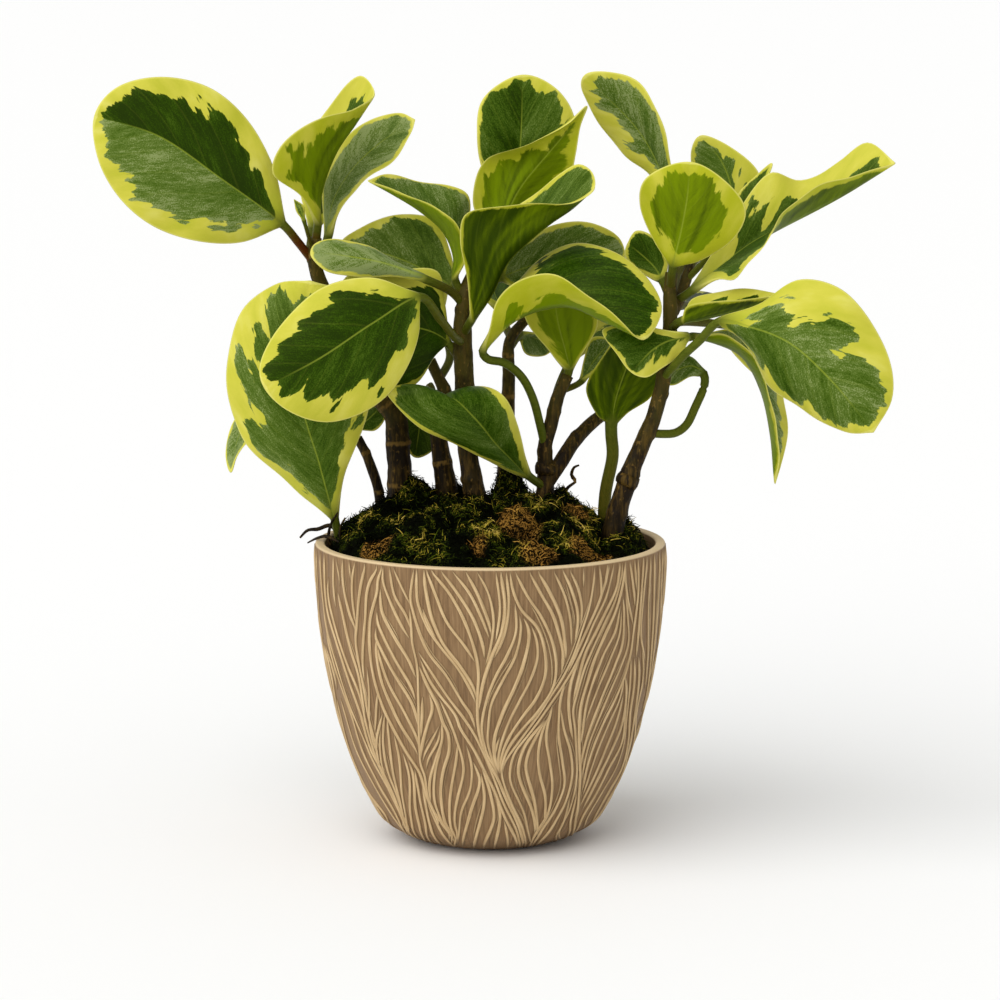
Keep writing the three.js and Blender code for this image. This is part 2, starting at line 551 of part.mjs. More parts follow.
function potSolid() {
  const profile = [[0, 0]];
  const rimStart = pot.height - pot.lip;
  for (let i = 0; i < 5; i++) {
    const z = pot.cornerHeight * (1 - Math.cos((Math.PI / 10) * i));
    profile.push([wallRadius(z), z]);
  }
  for (let i = 0; i <= 8; i++) {
    const z = THREE.MathUtils.lerp(pot.cornerHeight, rimStart, i / 8);
    profile.push([wallRadius(z), z]);
  }
  profile.push([pot.rimRadius - pot.lip, pot.height]);
  profile.push([pot.rimRadius - pot.wall + pot.lip, pot.height]);
  for (let i = 0; i <= 6; i++) {
    const z = THREE.MathUtils.lerp(rimStart, pot.innerCorner, i / 6);
    profile.push([innerRadius(z), z]);
  }
  profile.push(...innerFoot(0));
  return solid(lathe(profile));
}

// The rounding between the inner wall and the pot's floor
function innerFoot(clearance) {
  const radius = innerRadius(pot.innerCorner) - clearance;
  return [[radius - 5, pot.floor + 4], [radius - 12, pot.floor], [0, pot.floor]];
}

function lathe(profile) {
  const points = profile.map(([r, z]) => new THREE.Vector2(r, z));
  return new THREE.LatheGeometry(points, pot.sides).rotateX(Math.PI / 2);
}

function soilSolid() {
  const clearance = gap + 0.4;
  const profile = innerFoot(clearance).reverse();
  for (let i = 0; i <= 5; i++) {
    const z = THREE.MathUtils.lerp(pot.innerCorner, soilTop, i / 5);
    profile.push([innerRadius(z) - clearance, z]);
  }
  profile.push([0, soilTop]);
  return solid(lathe(profile));
}

// Moss: a low heap with its highest place behind the pot's middle
function mossSolid() {
  const radius = innerRadius(soilTop) - gap - 0.2;
  const [cx, cy] = moss.centre;
  const rings = [];
  for (let i = moss.rings; i >= 1; i--) {
    const t = i / moss.rings;
    rings.push(Array.from({ length: moss.sides }, (_, j) => {
      const angle = (2 * Math.PI * j) / moss.sides;
      const x = cx + (radius * Math.cos(angle) - cx) * t;
      const y = cy + (radius * Math.sin(angle) - cy) * t;
      return new THREE.Vector3(x, y, mossHeight(x, y, t));
    }));
  }
  const foot = rings[0].map((p) => new THREE.Vector3(p.x, p.y, soilTop));
  const top = new THREE.Vector3(cx, cy, mossHeight(cx, cy, 0));
  return skin([foot, ...rings], new THREE.Vector3(0, 0, soilTop), top);
}

function mossHeight(x, y, t) {
  const heap = moss.rise * (1 - t * t) ** moss.power;
  const bumps = Math.sin(x / 6 + 1) * Math.cos(y / 7) + 0.7 * Math.sin((x + y) / 4.5);
  return moss.edge + heap + moss.bump * bumps * (1 - t ** 4);
}

// Stems: the first point of a path is carried straight down into the soil
function stemSolid(shoots, extra = 0) {
  const parts = shoots.map(({ path, radius }, i) => {
    const points = path.map(place);
    if (i > 0) return tube(points, radius, stemSides, 9, extra);
    points.unshift(new THREE.Vector3(points[0].x, points[0].y, rootDepth));
    return tube(points, [radius[0], ...radius], stemSides, 9, extra);
  });
  return parts.reduce((whole, part) => whole.add(part));
}

// Leaves

// The ring of a leaf's skin where its midrib is at a point: a round stalk that opens into the blade.
function leafRing(centre, axis, side, toLeft, toRight, bow, halfThickness, stalkRadius) {
  const face = side.clone().cross(axis);
  return Array.from({ length: 8 }, (_, k) => {
    const angle = (-2 * Math.PI * k) / 8;
    const across = Math.cos(angle);
    const amount = Math.abs(across) < 1e-6 ? 0 : Math.abs(across);
    const blade = across >= 0 ? toRight : toLeft;
    const reach = blade.clone().addScaledVector(side, stalkRadius * Math.sign(across));
    const lift = reach.clone().cross(axis).multiplyScalar(Math.sign(across)).normalize();
    const normal = amount === 0 ? face : lift;
    const swell = bow[across >= 0 ? 1 : 0] * blade.length() * 4 * amount * (1 - amount);
    return centre.clone()
      .addScaledVector(reach, amount)
      .addScaledVector(normal, swell + halfThickness * Math.sin(angle));
  });
}

function leafSolid(spec) {
  const stalkRadius = spec.stalkRadius ?? leaf.stalkRadius;
  const middle = [...spec.stalk, ...spec.rib].map(place);
  const first = spec.stalk.length;
  const count = leaf.rings + 1;
  const ends = [middle[first], middle[middle.length - 1]];
  const rib = evenly(middle, count, first);
  const [left, right] = [spec.left, spec.right].map(
    (margin) => evenly([ends[0], ...margin.map(place), ends[1]], count).points,
  );
  const rings = [];
  const none = new THREE.Vector3();
  const bladeSides = rib.points.map(
    (p, i) => squared(right[i].clone().sub(left[i]), direction(rib.points, i)),
  );
  const openSide = bladeSides[2];

  const stalkLength = evenly(middle, 2, 0, first).length;
  const stalkCount = Math.max(3, Math.round(stalkLength / leaf.stalkStep) + 1);
  const stalk = evenly(middle, stalkCount, 0, first).points;
  for (let i = 0; i < stalkCount - 1; i++) {
    const axis = direction(stalk, i);
    const side = squared(openSide, axis);
    rings.push(leafRing(stalk[i], axis, side, none, none, spec.bow, stalkRadius, stalkRadius));
  }
  for (let i = 0; i < count; i++) {
    const along = Math.min(i / leaf.rings, leaf.tipEnd);
    const round = Math.max(0, 1 - along / leaf.fade) ** 2;
    const thin = leaf.thickness / 2;
    const half = THREE.MathUtils.lerp(thin, stalkRadius, round) * (i === leaf.rings ? 0.5 : 1);
    const axis = direction(rib.points, i);
    const side = i < 2 ? squared(openSide, axis) : bladeSides[Math.min(i, count - 2)];
    const centre = rib.points[i].clone();
    let toLeft = left[i].clone().sub(centre);
    let toRight = right[i].clone().sub(centre);
    if (i === leaf.rings) {
      const back = (1 - leaf.tipEnd) * leaf.rings;
      centre.lerp(rib.points[i - 1], back);
      toLeft = left[i].clone().lerp(left[i - 1], back).sub(centre);
      toRight = right[i].clone().lerp(right[i - 1], back).sub(centre);
    }
    rings.push(leafRing(centre, axis, side, toLeft, toRight, spec.bow, half, stalkRadius * round + 0.15));
  }
  return skin(rings, stalk[0], ends[1]);
}

// The stalk alone, grown by the gap, for the hole that it makes in what it stands in.
function stalkHole(spec) {
  const radius = (spec.stalkRadius ?? leaf.stalkRadius) * 1.08 + gap;
  const points = [...spec.stalk, spec.rib[0]].map(place);
  points[0].addScaledVector(direction(points, 0), -2 * gap);
  return tube(points, [radius, radius], 12, 5);
}

// Materials

function finish(color, roughness) {
  return new THREE.MeshStandardMaterial({ color, roughness, metalness: 0 });
}

const glazedClay = finish(0xb89a72, 0.55);
const earth = finish(0x241b12, 0.95);
const mossGreen = finish(0x2c3a14, 0.95);
const bark = finish(0x4a3218, 0.75);
const leafGreen = finish(0x5d7f24, 0.4);

// Assembly

const plant = new THREE.Group();

function add(name, manifold, material) {
  const mesh = new THREE.Mesh(geometryOf(manifold), material);
  mesh.name = name;
  plant.add(mesh);
}

const rooted = Object.values(leaves).filter((spec) => spec.stem === "moss");
const stemHoles = Object.values(stems).map((shoots) => stemSolid(shoots, gap));
const holes = [...stemHoles, ...rooted.map(stalkHole)];
const cutByStems = (whole) => holes.reduce((rest, hole) => rest.subtract(hole), whole);

add("pot", potSolid(), glazedClay);
add("soil", cutByStems(soilSolid()), earth);
add("moss", cutByStems(mossSolid()), mossGreen);
for (const [name, shoots] of Object.entries(stems)) add(name, stemSolid(shoots), bark);
for (const [name, spec] of Object.entries(leaves)) {
  const whole = leafSolid(spec);
  const grown = spec.stem === "moss" ? whole : whole.subtract(stemSolid(stems[spec.stem], gap));
  add(name, grown, leafGreen);
}

export default plant;
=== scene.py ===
import math
import random

import bpy
import numpy as np
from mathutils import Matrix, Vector, noise


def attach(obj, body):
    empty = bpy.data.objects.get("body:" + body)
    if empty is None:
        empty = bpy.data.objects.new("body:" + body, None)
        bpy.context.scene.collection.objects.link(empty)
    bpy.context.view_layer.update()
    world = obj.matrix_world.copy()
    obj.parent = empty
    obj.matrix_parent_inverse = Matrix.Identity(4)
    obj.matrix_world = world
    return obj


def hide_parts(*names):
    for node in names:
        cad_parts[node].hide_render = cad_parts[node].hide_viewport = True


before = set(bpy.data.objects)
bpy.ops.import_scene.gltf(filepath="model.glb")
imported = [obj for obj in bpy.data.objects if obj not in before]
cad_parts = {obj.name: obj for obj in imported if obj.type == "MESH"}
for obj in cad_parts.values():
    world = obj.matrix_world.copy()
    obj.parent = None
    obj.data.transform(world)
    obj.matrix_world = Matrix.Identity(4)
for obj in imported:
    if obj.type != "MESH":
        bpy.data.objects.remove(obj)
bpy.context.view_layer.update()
print("frame loaded with", len(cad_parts), "nodes")

# The plant is laid out as the eye meets it from in front and a little above. A point is
# (right, up, back) in millimetres: right and up lie across the line of sight from the middle of
# the rim, and back is how far it is behind the pot's middle.
eye = {"tilt": math.radians(9), "distance": 1.42, "rimHeight": 0.12}
eyePoint = np.array([
    0,
    -eye["distance"] * math.cos(eye["tilt"]),
    eye["rimHeight"] + eye["distance"] * math.sin(eye["tilt"]),
])


def placed(points):
    right, up, back = (np.array(points, float) / 1000).T
    height = eye["rimHeight"] + up * math.cos(eye["tilt"])
    ray = np.stack([right, up * math.sin(eye["tilt"]), height], 1) - eyePoint
    return eyePoint + ray * ((back - eyePoint[1]) / ray[:, 1])[:, None]


splineSteps = 24


def smoothLine(points, steps=splineSteps):  # a centripetal Catmull-Rom spline through the points
    points = np.array(points, float)
    ends = np.vstack([2 * points[0] - points[1], points, 2 * points[-1] - points[-2]])
    t = (np.arange(steps) / steps)[:, None]
    line = []
    for i in range(len(points) - 1):
        a, b, c, d = ends[i:i + 4]
        ab, bc, cd = [max(np.dot(q - p, q - p) ** 0.25, 1e-6) for p, q in ((a, b), (b, c), (c, d))]
        leave = ((b - a) / ab - (c - a) / (ab + bc) + (c - b) / bc) * bc
        arrive = ((c - b) / bc - (d - b) / (bc + cd) + (d - c) / cd) * bc
        line.append(b + leave * t + (3 * (c - b) - 2 * leave - arrive) * t ** 2
                    + (2 * (b - c) + leave + arrive) * t ** 3)
    return np.vstack(line + [points[-1:]])


def lengthsOf(line):
    return np.concatenate([[0], np.cumsum(np.linalg.norm(np.diff(line, axis=0), axis=1))])


def evenly(line, count):
    lengths = lengthsOf(line)
    wanted = np.linspace(0, lengths[-1], count)
    return np.stack([np.interp(wanted, lengths, line[:, k]) for k in range(3)], 1)


def unit(v):
    return v / np.maximum(np.linalg.norm(v, axis=-1, keepdims=True), 1e-12)


def headings(line):
    return unit(np.gradient(line, axis=0))


def squared(v, axis):  # the part of v that is square to the axis, at unit length
    return unit(v - axis * np.sum(v * axis, axis=-1, keepdims=True))


def eased(x):
    x = np.clip(x, 0, 1)
    return x * x * (3 - 2 * x)


def skinFaces(rings, around):  # faces over closed rings, with a fan at each end
    faces = []
    for k in range(around):
        after = (k + 1) % around
        for i in range(rings - 1):
            a, b = i * around, (i + 1) * around
            faces.append((a + k, a + after, b + after, b + k))
        faces.append((rings * around, after, k))
        last = (rings - 1) * around
        faces.append((rings * around + 1, last + k, last + after))
    return faces


def linked(name, data):
    piece = bpy.data.objects.new(name, data)
    bpy.context.scene.collection.objects.link(piece)
    return piece


def meshPiece(name, points, faces, marks=None):
    mesh = bpy.data.meshes.new(name)
    mesh.from_pydata(np.asarray(points).tolist(), [], faces)
    for mark, values in (marks or {}).items():
        layer = mesh.attributes.new(mark, "FLOAT_VECTOR", "POINT")
        layer.data.foreach_set("vector", np.asarray(values, np.float32).ravel())
    mesh.shade_smooth()
    return linked(name, mesh)


def finished(piece, material, slot, *nodes):  # gives a piece its finish and its place in the frame
    piece.data.materials.clear()
    piece.data.materials.append(material)
    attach(piece, "root")
    if nodes:
        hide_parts(*nodes)
    return piece


def plainMesh(piece):  # the piece with its modifiers worked in
    graph = bpy.context.evaluated_depsgraph_get()
    mesh = bpy.data.meshes.new_from_object(piece.evaluated_get(graph))
    piece.modifiers.clear()
    piece.data = mesh
    return piece


# Node trees. A Wire is a socket in a sum, and its graph adds the nodes that the sum needs.

class Wire:
    def __init__(self, graph, socket):
        self.graph = graph
        self.socket = socket

    def math(self, kind, other=0.0, swapped=False):
        pair = (other, self) if swapped else (self, other)
        return self.graph.node("ShaderNodeMath", {"operation": kind}, {0: pair[0], 1: pair[1]})

    def __add__(self, other):
        return self.math("ADD", other)

    def __sub__(self, other):
        return self.math("SUBTRACT", other)

    def __mul__(self, other):
        return self.math("MULTIPLY", other)

    def __truediv__(self, other):
        return self.math("DIVIDE", other)

    def __rsub__(self, other):
        return self.math("SUBTRACT", other, True)

    def __rtruediv__(self, other):
        return self.math("DIVIDE", other, True)

    def __abs__(self):
        return self.math("ABSOLUTE")

    __radd__ = __add__
    __rmul__ = __mul__


class Graph:
    def __init__(self, tree):
        self.tree = tree

    def node(self, kind, settings=None, values=None, out=0):
        made = self.tree.nodes.new(kind)
        for key, value in (settings or {}).items():
            if key == "stops":
                self.setStops(made.color_ramp, value)
            else:
                setattr(made, key, value)
        for key, value in (values or {}).items():
            self.feed(made.inputs[key], value)
        return Wire(self, made.outputs[out])

    def setStops(self, ramp, stops):
        ramp.elements.remove(ramp.elements[1])
        ramp.elements[0].position, ramp.elements[0].color = stops[0]
        for place, colour in stops[1:]:
            ramp.elements.new(place).color = colour

    def feed(self, socket, value):
        if isinstance(value, Wire):
            self.tree.links.new(value.socket, socket)
        else:
            socket.default_value = value

    def parts(self, wire):
        first = self.node("ShaderNodeSeparateXYZ", None, {0: wire})
        return [Wire(self, output) for output in first.socket.node.outputs]

    def vector(self, x, y, z):
        return self.node("ShaderNodeCombineXYZ", None, {0: x, 1: y, 2: z})

    def step(self, value, low, high):  # 0 at low, 1 at high, eased between
        return self.node("ShaderNodeMapRange", {"interpolation_type": "SMOOTHSTEP"},
                         {"Value": value, "From Min": low, "From Max": high})

    def place(self):  # the point on the piece, in metres
        return self.node("ShaderNodeTexCoord", out="Object")

    def mark(self, name, out="Vector"):
        return self.node("ShaderNodeAttribute", {"attribute_name": name}, out=out)

    def noise(self, vector, scale=1.0, detail=2.0, roughness=0.5):
        values = {"Vector": vector, "Scale": scale, "Detail": detail, "Roughness": roughness}
        return self.node("ShaderNodeTexNoise", None, values)

    def mix(self, amount, first, second):
        values = {0: amount, 6: first, 7: second}
        return self.node("ShaderNodeMix", {"data_type": "RGBA"}, values, out=2)

    def ramp(self, value, stops):
        return self.node("ShaderNodeValToRGB", {"stops": stops}, {0: value})


class Finish(Graph):
    def __init__(self, name, **fixed):
        self.material = bpy.data.materials.new(name)
        self.material.use_nodes = True
        super().__init__(self.material.node_tree)
        self.shader = self.tree.nodes["Principled BSDF"]
        for key, value in fixed.items():
            self.shader.inputs[key.replace("_", " ")].default_value = value

    def wear(self, colour, roughness, height=None, strength=0.3, distance=0.0004):
        self.feed(self.shader.inputs["Base Color"], colour)
        self.feed(self.shader.inputs["Roughness"], roughness)
        if height is not None:
            bump = self.node("ShaderNodeBump", None,
                             {"Strength": strength, "Distance": distance, "Height": height})
            self.feed(self.shader.inputs["Normal"], bump)
        return self.material


def paint(red, green, blue):  # a screen colour of 0 to 255 as the shader wants it
    def linear(c):
        c /= 255
        return c / 12.92 if c <= 0.04045 else ((c + 0.055) / 1.055) ** 2.4
    return (linear(red), linear(green), linear(blue), 1)


def hues(look):  # the colours of a look
    return {key: paint(*value) for key, value in look.items() if isinstance(value, tuple)}


# Leaves

leafLook = {
    "dark": (20, 44, 0), "deep": (38, 66, 0), "middle": (66, 92, 20), "sage": (98, 118, 52),
    "silver": (130, 144, 88),
    "yellow": (198, 193, 70), "pale": (218, 213, 112), "stained": (182, 182, 54),
    "underDark": (40, 60, 0), "underBright": (112, 134, 0), "underYellow": (170, 174, 32),
    "rib": (146, 160, 50), "stalkGreen": (84, 93, 24), "stalkBrown": (84, 34, 8),
    "veinAngle": 38, "roughness": 0.44,
    # each pattern's size in mm across and along the side veins, how its seed is shifted, its detail
    "patterns": {"lobes": (7.5, 17, 0, 1), "notches": (2.3, 8, 3.1, 2), "streaks": (1.3, 9, 3.1, 2),
                 "fringe": (0.5, 2.4, 7.7, 2), "patches": (7, 40, 11, 1), "stain": (7, 16, 5, 3)},
    "grain": 0.45, "ribWidth": 0.46, "edgeHighlightWidth": 0.8,
}


def leafFinish(look):
    g = Finish("variegated leaf", Specular_IOR_Level=0.16, Specular_Tint=(1, 1, 0.3, 1))
    hue = hues(look)
    along, across, seed = g.parts(g.mark("leafPlace"))
    edge, width, toneLeft = g.parts(g.mark("leafPaint"))
    under, glow, reach = g.parts(g.mark("leafFace"))
    stalk, brown, toneRight = g.parts(g.mark("leafStalk"))

    outward = abs(across)
    turn = math.radians(look["veinAngle"])
    vein = outward * math.cos(turn) - along * math.sin(turn)
    run = outward * math.sin(turn) + along * math.cos(turn)

    def pattern(name):
        wide, long, shift, detail = look["patterns"][name]
        place = g.vector(vein / wide, run / long, seed + shift if shift else seed)
        return g.noise(place, detail=detail)

    lobes, notches = pattern("lobes"), pattern("notches")
    streaks, fringe = pattern("streaks"), pattern("fringe")
    place = g.vector(across / look["grain"], along / look["grain"], seed)
    grain = g.noise(place, detail=3, roughness=0.6)

    # how far a point lies inside the ragged border between the yellow margin and the green
    jag = ((lobes - 0.5) * 3 + (notches - 0.5) * 1.5) * width
    jag = jag + (fringe - 0.5) * (width * 0.25 + 0.9)
    depth = edge - width + jag
    soft = 0.32 + under * 0.4
    green = g.step(depth, 0 - soft, soft)

    tone = toneLeft + (toneRight - toneLeft) * g.step(across, -0.3, 0.3)
    patches = pattern("patches")
    shade = (tone + (patches - 0.5) * 0.85 + (streaks - 0.5) * 0.6 + (fringe - 0.5) * 0.6
             + (grain - 0.5) * 1.3)
    shade = shade + g.step(depth, 4, 0) * 0.15
    upper = g.ramp(shade, [(0, hue["dark"]), (0.3, hue["deep"]), (0.6, hue["middle"]),
                           (0.9, hue["sage"]), (1, hue["silver"])])
    stain = pattern("stain")
    yellow = g.ramp(stain, [(0.28, hue["stained"]), (0.55, hue["yellow"]), (0.9, hue["pale"])])
    yellow = g.mix(g.step(reach, 0.3, 0.02) * 0.35, yellow, hue["underBright"])
    upper = g.mix(green, yellow, upper)

    fan = g.node("ShaderNodeMath", {"operation": "ARCTAN2"}, {0: across, 1: along + 9})
    fanLines = g.noise(g.vector(fan * 9, along / 60, seed + 2), detail=2)
    lit = glow + (fanLines - 0.5) * 1.9 + (streaks - 0.5) * 0.6 + (grain - 0.5) * 0.3
    beneath = g.mix(g.step(lit, -0.1, 1.1), hue["underDark"], hue["underBright"])
    yellowUnder = g.mix(g.step(stain, 0.35, 0.85), hue["underYellow"], hue["yellow"])
    beneath = g.mix(green, yellowUnder, beneath)
    colour = g.mix(under, upper, beneath)

    line = g.step(outward, look["ribWidth"], 0.14) * g.step(reach, 0.97, 0.6)
    sideVeins = g.step((vein * 0.75 + (patches - 0.5) * 4).math("SINE"), 0.94, 1) * green
    colour = g.mix(line * 0.5, colour, hue["rib"])
    colour = g.mix(sideVeins * 0.05, colour, hue["rib"])
    # painted highlight: a pale line along the very edge of the blade, where light catches the leaf's
    # thickness
    rim = g.step(edge, look["edgeHighlightWidth"], 0.25) * g.step(width, 0.2, 1.4)
    colour = g.mix(rim * 0.75, colour, hue["pale"])

    browned = brown * g.step(reach + (streaks - 0.5) * 0.5, 0.1, -0.45)
    stem = g.mix(browned, hue["stalkGreen"], hue["stalkBrown"])
    stem = g.mix(g.step(fringe, 0.35, 0.65) * 0.3, stem, hue["underDark"])
    colour = g.mix(stalk, colour, stem)
    roughness = look["roughness"] + under * 0.12 + (grain - 0.5) * 0.12
    height = grain * 0.35 + streaks * 0.5 - line * 0.9 + sideVeins * 0.25
    return g.wear(colour, roughness, height, 0.35, 0.0005)


backColours = {  # three kinds of colouring for the leaves at the back
    "broad": {"yellow": ((3, 7, 5), (2, 5, 4)), "tone": (0.5, 0.15), "glow": 0.6, "brown": 0.3},
    "bold": {"yellow": ((4, 9, 6), (3, 6, 5)), "tone": (0.15, 0.6), "glow": 0.6, "brown": 0.2},
    "grey": {"yellow": ((2, 5, 4), (4, 8, 5)), "tone": (0.7, 0.3), "glow": 0.7, "brown": 0.3},
}
